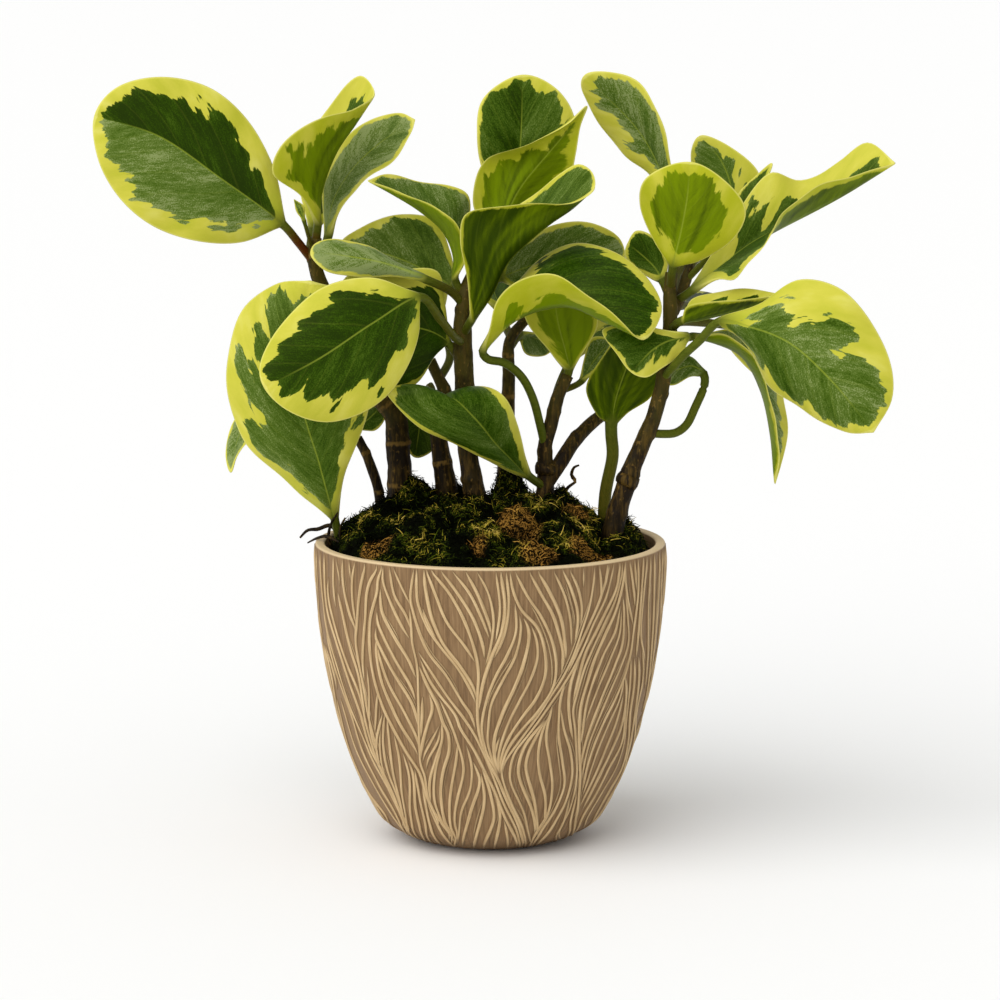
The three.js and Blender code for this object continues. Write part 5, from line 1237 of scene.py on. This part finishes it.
def sideRuns(build, frontEdge, backEdge, rng):  # lines where the front and the back leave a gap
    span = build["sideEase"]
    runs = []
    for side in (-1, 1):
        padded = [np.pad(edge[side], span // 2, "edge") for edge in (frontEdge, backEdge)]
        near, far = [np.convolve(edge, np.ones(span) / span, "valid") for edge in padded]
        for share, least in build["sideLines"]:
            turns = near + (far - near) * share
            clear = (turns > frontEdge[side] + 1) & (turns < backEdge[side] - 1)
            for part, first in stretches(turns, 0, clear & (far - near > least)):
                lead = rng.randint(0, 3)
                runs.append((side * part[lead:], first + lead))
    return runs


def strandRuns(build, around, radius, rng):  # thin strands beside some of the lines
    strands = []
    for turns, first, _ in rng.sample(around, round(len(around) * build["strandShare"])):
        share = rng.uniform(*build["strandLength"])
        start = round(len(turns) * rng.uniform(0.08, 0.9 - share))
        part = turns[start:start + round(len(turns) * share)]
        aside = np.sin(np.linspace(0, np.pi, len(part))) ** 0.5
        aside = aside * rng.choice((-1, 1)) * rng.uniform(0.8, 1.15)
        degree = radius[first + start:first + start + len(part)] * 17.45  # its length in mm
        strands.append((part + aside * build["strandGap"] / degree, first + start, build["strand"]))
    return strands


def ridgeRuns(build, lines, pot):  # all lines and their girth, with the wall's heights and radii
    heights = np.linspace(build["bottom"], build["top"], build["rows"])
    radius = np.array([wallRadius(z, pot) for z in heights])
    rng = random.Random(build["seed"])
    front = frontRuns(build, lines, pot, heights)
    frontEdge = edgesOf(front, len(heights), 0, np.maximum)
    back = backRuns(build, front, frontEdge)
    backEdge = edgesOf(back, len(heights), 180, np.minimum)
    around = [(*run, 1) for run in front] + [(*run, build["backSize"]) for run in back]
    around += [(*run, build["sideSize"]) for run in sideRuns(build, frontEdge, backEdge, rng)]
    around += strandRuns(build, around, radius, rng)
    swayed = []
    wide, tall = build["swayScale"]
    for turns, first, size in around:
        rows = slice(first, first + len(turns))
        spots = [Vector((math.cos(t) * wide, math.sin(t) * wide, z * tall))
                 for t, z in zip(map(math.radians, turns), heights[rows])]
        behind = np.clip((abs(wrapped(turns)) - build["backFrom"]) / build["backOver"], 0, 1)
        amount = build["sway"] + (build["backSway"] - build["sway"]) * behind
        shift = np.array([noise.noise(spot) for spot in spots]) * amount / 1000
        swell = np.array([noise.noise(spot * build["unevenScale"]) for spot in spots]) * build["uneven"]
        ends = np.minimum(np.arange(len(turns)), np.arange(len(turns))[::-1]) / 4
        girth = np.clip(ends + 0.2, 0, 1) ** 0.6 * (rng.uniform(0.85, 1.15) * size + swell * size)
        swayed.append((np.radians(turns) + shift / radius[rows], girth, first))
    return heights, radius, swayed


def ridgePiece(build, lines, pot):
    heights, radius, runs = ridgeRuns(build, lines, pot)
    points, edges, girths, places = [], [], [], []
    slopes = np.gradient(radius, heights)
    for number, (turns, sizes, first) in enumerate(runs):
        for n, (turn, size) in enumerate(zip(turns, sizes)):
            j = first + n
            lean = 1 / math.sqrt(1 + slopes[j] ** 2)
            r = radius[j] - build["sunk"] * lean
            z = heights[j] + build["sunk"] * slopes[j] * lean
            points.append((r * math.sin(turn), -r * math.cos(turn), z))
            girths.append(size)
            places.append((heights[j] * 1000, number * build["seedStep"], radius[j]))
            if n:
                edges.append((len(points) - 2, len(points) - 1))
    mesh = bpy.data.meshes.new("pot_lines")
    mesh.from_pydata(points, edges, [])
    layer = mesh.attributes.new("girth", "FLOAT", "POINT")
    layer.data.foreach_set("value", girths)
    layer = mesh.attributes.new("ridgeRun", "FLOAT_VECTOR", "POINT")
    layer.data.foreach_set("vector", np.array(places, np.float32).ravel())
    return linked("pot_lines", mesh), len(runs)


def groupWith(name, inputs):  # a geometry tree with named inputs, and the identifiers that set them
    tree = bpy.data.node_groups.new(name, "GeometryNodeTree")
    face = tree.interface
    face.new_socket("Geometry", in_out="INPUT", socket_type="NodeSocketGeometry")
    for key, kind in inputs.items():
        face.new_socket(key, in_out="INPUT", socket_type="NodeSocket" + kind)
    face.new_socket("Geometry", in_out="OUTPUT", socket_type="NodeSocketGeometry")
    names = {item.name: item.identifier for item in face.items_tree if item.in_out == "INPUT"}
    g = Graph(tree)
    start = tree.nodes.new("NodeGroupInput")
    return g, {out.name: Wire(g, out) for out in start.outputs if out.name}, names


def ended(g, made, finish):  # gives what the tree has made its material and puts it out
    made = g.node("GeometryNodeSetMaterial", None, {"Geometry": made, "Material": finish})
    g.feed(g.tree.nodes.new("NodeGroupOutput").inputs["Geometry"], made)


def grow(piece, g, names, values):  # runs the tree on the piece and keeps the plain mesh
    grower = piece.modifiers.new("grow", "NODES")
    grower.node_group = g.tree
    for key, value in values.items():
        grower[names[key]] = value
    return plainMesh(piece)


def lineTree():
    kinds = {"Radius": "Float", "Sides": "Int", "Finish": "Material"}
    g, given, names = groupWith("raised lines", kinds)
    curve = g.node("GeometryNodeMeshToCurve", None, {"Mesh": given["Geometry"]})
    girth = g.node("GeometryNodeInputNamedAttribute", {"data_type": "FLOAT"}, {"Name": "girth"})
    circle = {"Resolution": given["Sides"], "Radius": 1.0}
    ring = g.node("GeometryNodeCurvePrimitiveCircle", None, circle)
    turn = g.node("GeometryNodeSplineParameter", out="Factor")
    ring = g.node("GeometryNodeStoreNamedAttribute", {"data_type": "FLOAT", "domain": "POINT"},
                  {"Geometry": ring, "Name": "ridgeTurn", "Value": turn})
    size = girth * given["Radius"]
    tube = {"Curve": curve, "Profile Curve": ring, "Scale": size, "Fill Caps": True}
    made = g.node("GeometryNodeCurveToMesh", None, tube)
    made = g.node("GeometryNodeRealizeInstances", None, {"Geometry": made})
    made = g.node("GeometryNodeSetShadeSmooth", None, {"Geometry": made, "Shade Smooth": True})
    ended(g, made, given["Finish"])
    return g, names


clayLook = {
    "ground": (130, 101, 67), "dim": (104, 78, 49), "light": (152, 123, 86),
    "cream": (205, 176, 130), "tan": (176, 147, 104), "lip": (222, 197, 155), "roughness": 0.6,
    "lipHighlightFrom": 119, "lipHighlightFull": 119.6,  # the height in mm from which the lip is painted pale: its own cream glaze with a painted highlight
    "creaseShadeFrom": 0.00048, "creaseShadeFull": 0.0001,  # how little a line stands out where its flanks are painted darker as the shade in the crease beside the wall
}


def wallFinish(look):
    g = Finish("taupe clay", Specular_IOR_Level=0.3)
    hue = hues(look)
    east, north, height = g.parts(g.mark("potPlace"))
    streak = g.noise(g.vector(east / 0.9, north / 0.9, height / 16), detail=3, roughness=0.6)
    cloud = g.noise(g.vector(east / 14, north / 14, height / 22), detail=2)
    colour = g.ramp(streak, [(0.3, hue["dim"]), (0.5, hue["ground"]), (0.75, hue["light"])])
    colour = g.mix(g.step(cloud, 0.35, 0.65) * 0.25, colour, hue["light"])
    # painted highlight: the top of the rim is painted pale cream, over its cream glaze
    colour = g.mix(g.step(height, look["lipHighlightFrom"], look["lipHighlightFull"]) * 0.85, colour, hue["lip"])
    return g.wear(colour, look["roughness"] + (streak - 0.5) * 0.2, streak, 0.45, 0.0006)


def lineFinish(look):
    g = Finish("cream lines", Specular_IOR_Level=0.3)
    hue = hues(look)
    x, y, z = g.parts(g.place())
    height, number, wall = g.parts(g.mark("ridgeRun"))
    turn = g.mark("ridgeTurn", "Fac")
    streak = g.noise(g.vector(turn * 9, height / 9, number), detail=3, roughness=0.6)
    rise = (x * x + y * y).math("SQRT") - wall
    worn = g.noise(g.vector(number, height / 14, number), detail=2)
    colour = g.ramp(streak, [(0.3, hue["tan"]), (0.55, hue["cream"]), (0.8, hue["lip"])])
    colour = g.mix(g.step(worn, 0.45, 0.7) * 0.4, colour, hue["tan"])
    # painted shade: the flanks of each line, low beside the wall, are darkened as if shadowed in the
    # crease
    colour = g.mix(g.step(rise, look["creaseShadeFrom"], look["creaseShadeFull"]) * 0.8, colour, hue["dim"])
    return g.wear(colour, look["roughness"] - 0.06 + (streak - 0.5) * 0.15, streak, 0.5, 0.0005)


finished(potWall(potBuild), wallFinish(clayLook), "pot_clay", "pot")
lineMaterial = lineFinish(clayLook)
ridges, ridgeCount = ridgePiece(lineBuild, carved, potBuild)
tree, inputs = lineTree()
values = {"Radius": lineBuild["radius"], "Sides": lineBuild["profile"], "Finish": lineMaterial}
grow(ridges, tree, inputs, values)
finished(ridges, lineMaterial, "pot_clay")
print("pot made with", ridgeCount, "raised lines,", len(ridges.data.polygons), "faces")


# Moss and soil

mossBuild = {
    "edge": 0.1165, "rise": 0.017, "centre": (-0.003, 0.017), "power": 0.62, "radius": 0.0652,
    "rings": 64, "around": 190, "foot": 0.112, "lowest": 0.1125, "rimDrop": 0.0035,
    # the cushions that the bed is made of, and its roughness at two scales
    "moundScale": 66, "moundHeight": 0.006, "moundSize": 0.62, "nudge": 0.003, "nudgeScale": 90,
    "nudgeApart": (9.3, -1.5, -7.9), "rough": 0.0012, "roughScales": (230, 560),
    # strands by piece: how many to a square metre, length, width, darkest and palest, seed
    "strands": {"moss_mat": (440000, 0.0025, 0.0002, -0.15, 0.75, 5),
                "moss_strands": (400000, 0.0031, 0.0002, 0.05, 1.1, 8)},
    # the four shapes of strand, in shares of its length: how far out the middle bends, then how far
    # up and out the tip is
    "bends": [(1.3, 0.05, 0.8), (0.7, 0.35, 1.1), (1.6, 0.15, 0.1), (0.9, -0.05, 1.3)],
    # cuffs of moss that climb the stems, and hollows: x, y, width and height in mm
    "swells": [(7, 34, 6, 14), (-17, 27, 9, 6), (-35, 26, 10, 10), (-46, 26, 6, 6), (22, 20, 6, 3),
               (-58, 2, 7, 4), (28, 26, 5, 6), (-46, 12, 9, 5), (30, -4, 9, 3), (14, -38, 9, -3),
               (-16, -26, 8, -3), (42, -22, 8, -3)],
    # dry patches: x, y and width in mm
    "dry": [(10, -24, 13), (40, -40, 10), (-44, -32, 8), (20, -50, 8), (-6, -46, 6), (34, -10, 7)],
    # pale trails of longer moss that run over the bed, as pairs of mm right and up as seen
    "trails": [(-4, 2, 4.8, 4, 9, 7, 15.6, 11.2, 20.8, 12.8, 26.4, 14.4, 39.6, 16.8),
               (41.8, 16.4, 40.4, 8.4, 38.2, 1.8, 32, -2, 26.4, -5.4),
               (38.8, 2.6, 46.8, -0.8, 56.4, -1.8), (-26.2, 2.6, -27.6, -4, -28.4, -7.6),
               (-17.6, 8.4, -10.2, 3.2, -4, 2), (-10.9, -5.4, -3.6, -1.1, 2.8, 1.2),
               (-52, 6, -44, 8, -38, 6, -31, 9)],
    "trailWidth": 0.0012, "trailRise": 0.0014, "trailGlow": 1.0, "trailSteps": 10,
    "sightBack": (-64, 65),  # where the bed is looked for along a line of sight
}
mossLook = {
    "black": (5, 6, 1), "deep": (18, 27, 4), "green": (66, 78, 10), "olive": (174, 152, 50),
    "straw": (230, 198, 96), "rust": (198, 144, 64), "earth": (58, 36, 10),
    "soilDark": (16, 11, 6), "soilLight": (58, 42, 26),
}


def hump(x, y, cx, cy, wide):  # 1 at the middle and falling off over the width, x and y in metres
    return math.exp(-((x * 1000 - cx) ** 2 + (y * 1000 - cy) ** 2) / wide ** 2)


def mossShape(x, y, t, build):  # the height, the painted light of the spot (bright on the cushion crests, dark in the hollows between them and by the rim), and how much room strands have
    spot = Vector((x, y, 0))
    ease = min(1, (1 - t) * 6)
    apart = Vector(build["nudgeApart"])
    nudge = Vector([noise.noise(spot * build["nudgeScale"] + apart * way) for way in range(3)])
    near = noise.voronoi((spot + nudge * build["nudge"]) * build["moundScale"])[0]
    mound = 1 - (near[0] / build["moundSize"]) ** 2
    z = build["edge"] + build["rise"] * (1 - t * t) ** build["power"]
    z -= build["rimDrop"] * eased(t * 8 - 7)
    z += build["moundHeight"] * (max(mound, -0.6) - 0.3) * ease
    coarse, fine = [noise.noise(spot * scale) for scale in build["roughScales"]]
    z += build["rough"] * (coarse + 0.6 * fine) * ease
    for cx, cy, wide, high in build["swells"]:
        z += high / 1000 * hump(x, y, cx, cy, wide)
    # painted light: the crests of the cushions bright, the hollows between them dark, and the band by
    # the rim darkened as shade
    crestLight = eased((near[1] - near[0]) * 2.2) * min(1, 0.1 + (1 - t) * 8)
    return max(z, build["lowest"]), crestLight, min(1, 0.3 + (1 - t) * 7)


def onBed(right, up, bed, build):  # where the sight line meets the bed
    for spot in placed([(right, up, back) for back in range(*build["sightBack"])]):
        under = bed[np.argmin((bed[:, 0] - spot[0]) ** 2 + (bed[:, 1] - spot[1]) ** 2)]
        if spot[2] < under[2]:
            return under
    return under


def mossBase(build):
    cx, cy = build["centre"]
    points, crestLights = [], []
    for i in range(build["rings"], 0, -1):
        t = i / build["rings"]
        for k in range(build["around"]):
            a = 2 * math.pi * k / build["around"]
            x = cx + (build["radius"] * math.cos(a) - cx) * t
            y = cy + (build["radius"] * math.sin(a) - cy) * t
            z, top, room = mossShape(x, y, t, build)
            points.append((x, y, z))
            crestLights.append((top, room))
    bed = np.array(points)
    trails = []
    for flat in build["trails"]:
        spots = [onBed(right, up, bed, build) for right, up in zip(flat[::2], flat[1::2])]
        trails.append(smoothLine(spots, build["trailSteps"]))
    trail = np.vstack(trails)
    away = np.array([np.min(np.sum((trail[:, :2] - spot[:2]) ** 2, 1)) for spot in bed])
    glow = np.exp(-away / build["trailWidth"] ** 2)
    bed[:, 2] += glow * build["trailRise"]
    points = [tuple(spot) for spot in bed]
    # the trails are paler: their glow is added to the crests' painted light
    crestLights = [(top + build["trailGlow"] * shine, room) for (top, room), shine in zip(crestLights, glow)]
    foot = [(x, y, build["foot"]) for x, y, z in points[:build["around"]]]
    points = foot + points + [(0, 0, build["foot"]), (cx, cy, mossShape(cx, cy, 0, build)[0])]
    crestLights = crestLights[:build["around"]] + crestLights + [(0, 0.3), (1, 1)]
    marks = []
    for (x, y, z), (top, room) in zip(points, crestLights):
        dry = max(hump(x, y, *patch) for patch in build["dry"])
        marks.append((top, dry, room))
    faces = skinFaces(build["rings"] + 1, build["around"])
    return meshPiece("fine_moss", points, faces, {"mossMark": marks})


def mossFinish(look, strands):
    g = Finish("moss strands" if strands else "moss bed", Specular_IOR_Level=0.03)
    hue = hues(look)
    x, y, z = g.parts(g.place())
    top, dry, room = g.parts(g.mark("mossMark"))
    patch = g.noise(g.vector(x * 60, y * 60, 3.0), detail=3)
    if strands:
        chance = g.mark("strandHue", "Fac")
    else:
        chance = g.noise(g.vector(x * 1100, y * 1100, z * 1100), detail=3)
    # painted light: top brightens the crests and the trails and darkens the hollows and the band by the
    # rim
    blend = chance * 0.8 + (patch - 0.5) * 1.1 + top * 0.34 - 0.32
    stops = [(0.22, hue["black"]), (0.42, hue["deep"]), (0.6, hue["green"]), (0.8, hue["olive"]),
             (1.0, hue["straw"])]
    colour = g.ramp(blend, stops)
    rust = g.step(dry + (patch - 0.5) * 1.4, 0.4, 0.65)
    dried = [(0.3, hue["black"]), (0.6, hue["earth"]), (1.0, hue["rust"])]
    colour = g.mix(rust * 0.85, colour, g.ramp(chance + top * 0.2, dried))
    if not strands:  # the bed is painted near black as the shade beneath the strands, with curled fibres lying in it
        curls = abs(g.noise(g.vector(x * 560, y * 560, z * 560), detail=2) - 0.5)
        fibre = g.step(curls, 0.08, 0.02) * g.step(patch + top * 0.3, 0.35, 0.65)
        bright = g.mix(rust * 0.8, g.ramp(blend + 0.22, stops), hue["rust"])
        colour = g.mix(fibre * 0.7, g.mix(0.85, colour, hue["black"]), bright)
        chance = chance * 0.5 + fibre
    return g.wear(colour, 0.9, chance, 0.5, 0.0006)


def strandTree(bends):
    kinds = {"Density": "Float", "Length": "Float", "Width": "Float", "Darkest": "Float",
             "Palest": "Float", "Seed": "Int", "Finish": "Material"}
    g, given, names = groupWith("moss strands", kinds)
    length = given["Length"]
    faceUp = g.parts(g.node("GeometryNodeInputNormal", out="Normal"))[2]
    field = {"Mesh": given["Geometry"], "Selection": faceUp - 0.1,
             "Density": given["Density"], "Seed": given["Seed"]}
    spread = g.node("GeometryNodeDistributePointsOnFaces", None, field)
    facing = Wire(g, spread.socket.node.outputs["Rotation"])
    strands = []
    for bend, top, out in bends:
        middle = g.vector(length * bend * 0.5, 0.0, length * 0.32)
        end = g.vector(length * out, length * 0.45, length * top)
        path = {"Resolution": 2, "Start": (0, 0, -0.0003), "Middle": middle, "End": end}
        arc = g.node("GeometryNodeCurveQuadraticBezier", None, path)
        factor = g.node("GeometryNodeSplineParameter", out="Factor")
        circle = {"Resolution": 3, "Radius": given["Width"]}
        ring = g.node("GeometryNodeCurvePrimitiveCircle", None, circle)
        tube = {"Curve": arc, "Profile Curve": ring, "Scale": 1.2 - factor * 0.9, "Fill Caps": True}
        strands.append(g.node("GeometryNodeCurveToMesh", None, tube))
    shapes = g.node("GeometryNodeGeometryToInstance")
    for strand in strands:
        g.feed(shapes.socket.node.inputs[0], strand)
    twist = g.node("FunctionNodeRandomValue", {"data_type": "FLOAT_VECTOR"},
                   {0: (-0.45, -0.45, 0.0), 1: (0.45, 0.45, 6.283), "Seed": 11})
    local = {"rotation_space": "LOCAL"}
    turned = g.node("FunctionNodeRotateRotation", local, {0: facing, 1: twist})

    def chance(low, high, seed):
        values = {2: low, 3: high, "Seed": seed}
        return g.node("FunctionNodeRandomValue", {"data_type": "FLOAT"}, values, out=1)

    size = chance(0.5, 1.3, 12)
    mark = {"data_type": "FLOAT_VECTOR"}
    marked = g.node("GeometryNodeInputNamedAttribute", mark, {"Name": "mossMark"})
    size = size * g.parts(marked)[2]  # strands keep short beside the pot
    planted = {"Points": spread, "Instance": shapes, "Pick Instance": True,
               "Rotation": turned, "Scale": g.vector(size, size, size)}
    grown = g.node("GeometryNodeInstanceOnPoints", None, planted)
    tint = chance(given["Darkest"], given["Palest"], 13)
    grown = g.node("GeometryNodeStoreNamedAttribute", {"data_type": "FLOAT", "domain": "INSTANCE"},
                   {"Geometry": grown, "Name": "strandHue", "Value": tint})
    ended(g, g.node("GeometryNodeRealizeInstances", None, {"Geometry": grown}), given["Finish"])
    return g, names


mossBed = mossBase(mossBuild)
strandMaterial = mossFinish(mossLook, True)
tree, inputs = strandTree(mossBuild["bends"])
for name, values in mossBuild["strands"].items():
    strands = linked(name, mossBed.data.copy())
    values = dict(zip(("Density", "Length", "Width", "Darkest", "Palest", "Seed"), values))
    grow(strands, tree, inputs, {**values, "Finish": strandMaterial})
    finished(strands, strandMaterial, "moss")
    print(name, "made with", len(strands.data.polygons), "faces")
finished(mossBed, mossFinish(mossLook, False), "moss", "moss")


def soilFinish(look):
    g = Finish("potting soil")
    hue = hues(look)
    spot = g.place()
    crumbs = g.noise(spot, scale=420, detail=4, roughness=0.65)
    colour = g.mix(g.step(crumbs, 0.4, 0.7), hue["soilDark"], hue["soilLight"])
    return g.wear(colour, 0.95, crumbs, 0.8, 0.001)


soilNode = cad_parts["soil"]
soilNode.data.materials.clear()
soilNode.data.materials.append(soilFinish(mossLook))
print("soil finished")


# Studio

studio = {
    "lens": 127.8, "sensor": 36, "eyeHeight": 0.3421, "eyeBack": 1.4025, "pitch": 8.35, "yaw": 0.16,
    "floorSize": 90, "floor": (246, 246, 245), "world": 0.6,
    "sun": {"strength": 2.2, "spread": 75, "from": (-0.76, -0.74, 1.13)},
}

sun = bpy.data.lights.new("sun", "SUN")
sun.energy = studio["sun"]["strength"]
sun.angle = math.radians(studio["sun"]["spread"])
linked("sun", sun).rotation_euler = Vector(studio["sun"]["from"]).to_track_quat("Z", "Y").to_euler()
world = bpy.data.worlds.new("studio")
world.use_nodes = True
background = world.node_tree.nodes["Background"].inputs
background["Color"].default_value = (1, 1, 1, 1)
background["Strength"].default_value = studio["world"]
bpy.context.scene.world = world

s = studio["floorSize"]
floor = meshPiece("floor", [(-s, -s, 0), (s, -s, 0), (s, s, 0), (-s, s, 0)], [(0, 1, 2, 3)])
g = Finish("pale floor")
floor.data.materials.append(g.wear(paint(*studio["floor"]), 0.8))

camera = bpy.data.cameras.new("camera")
camera.lens = studio["lens"]
camera.sensor_width = studio["sensor"]
viewer = linked("camera", camera)
viewer.location = (0, -studio["eyeBack"], studio["eyeHeight"])
viewer.rotation_euler = (math.radians(90 - studio["pitch"]), 0, math.radians(-studio["yaw"]))
bpy.context.scene.camera = viewer
bpy.context.scene.view_settings.view_transform = "Standard"
print("studio ready")
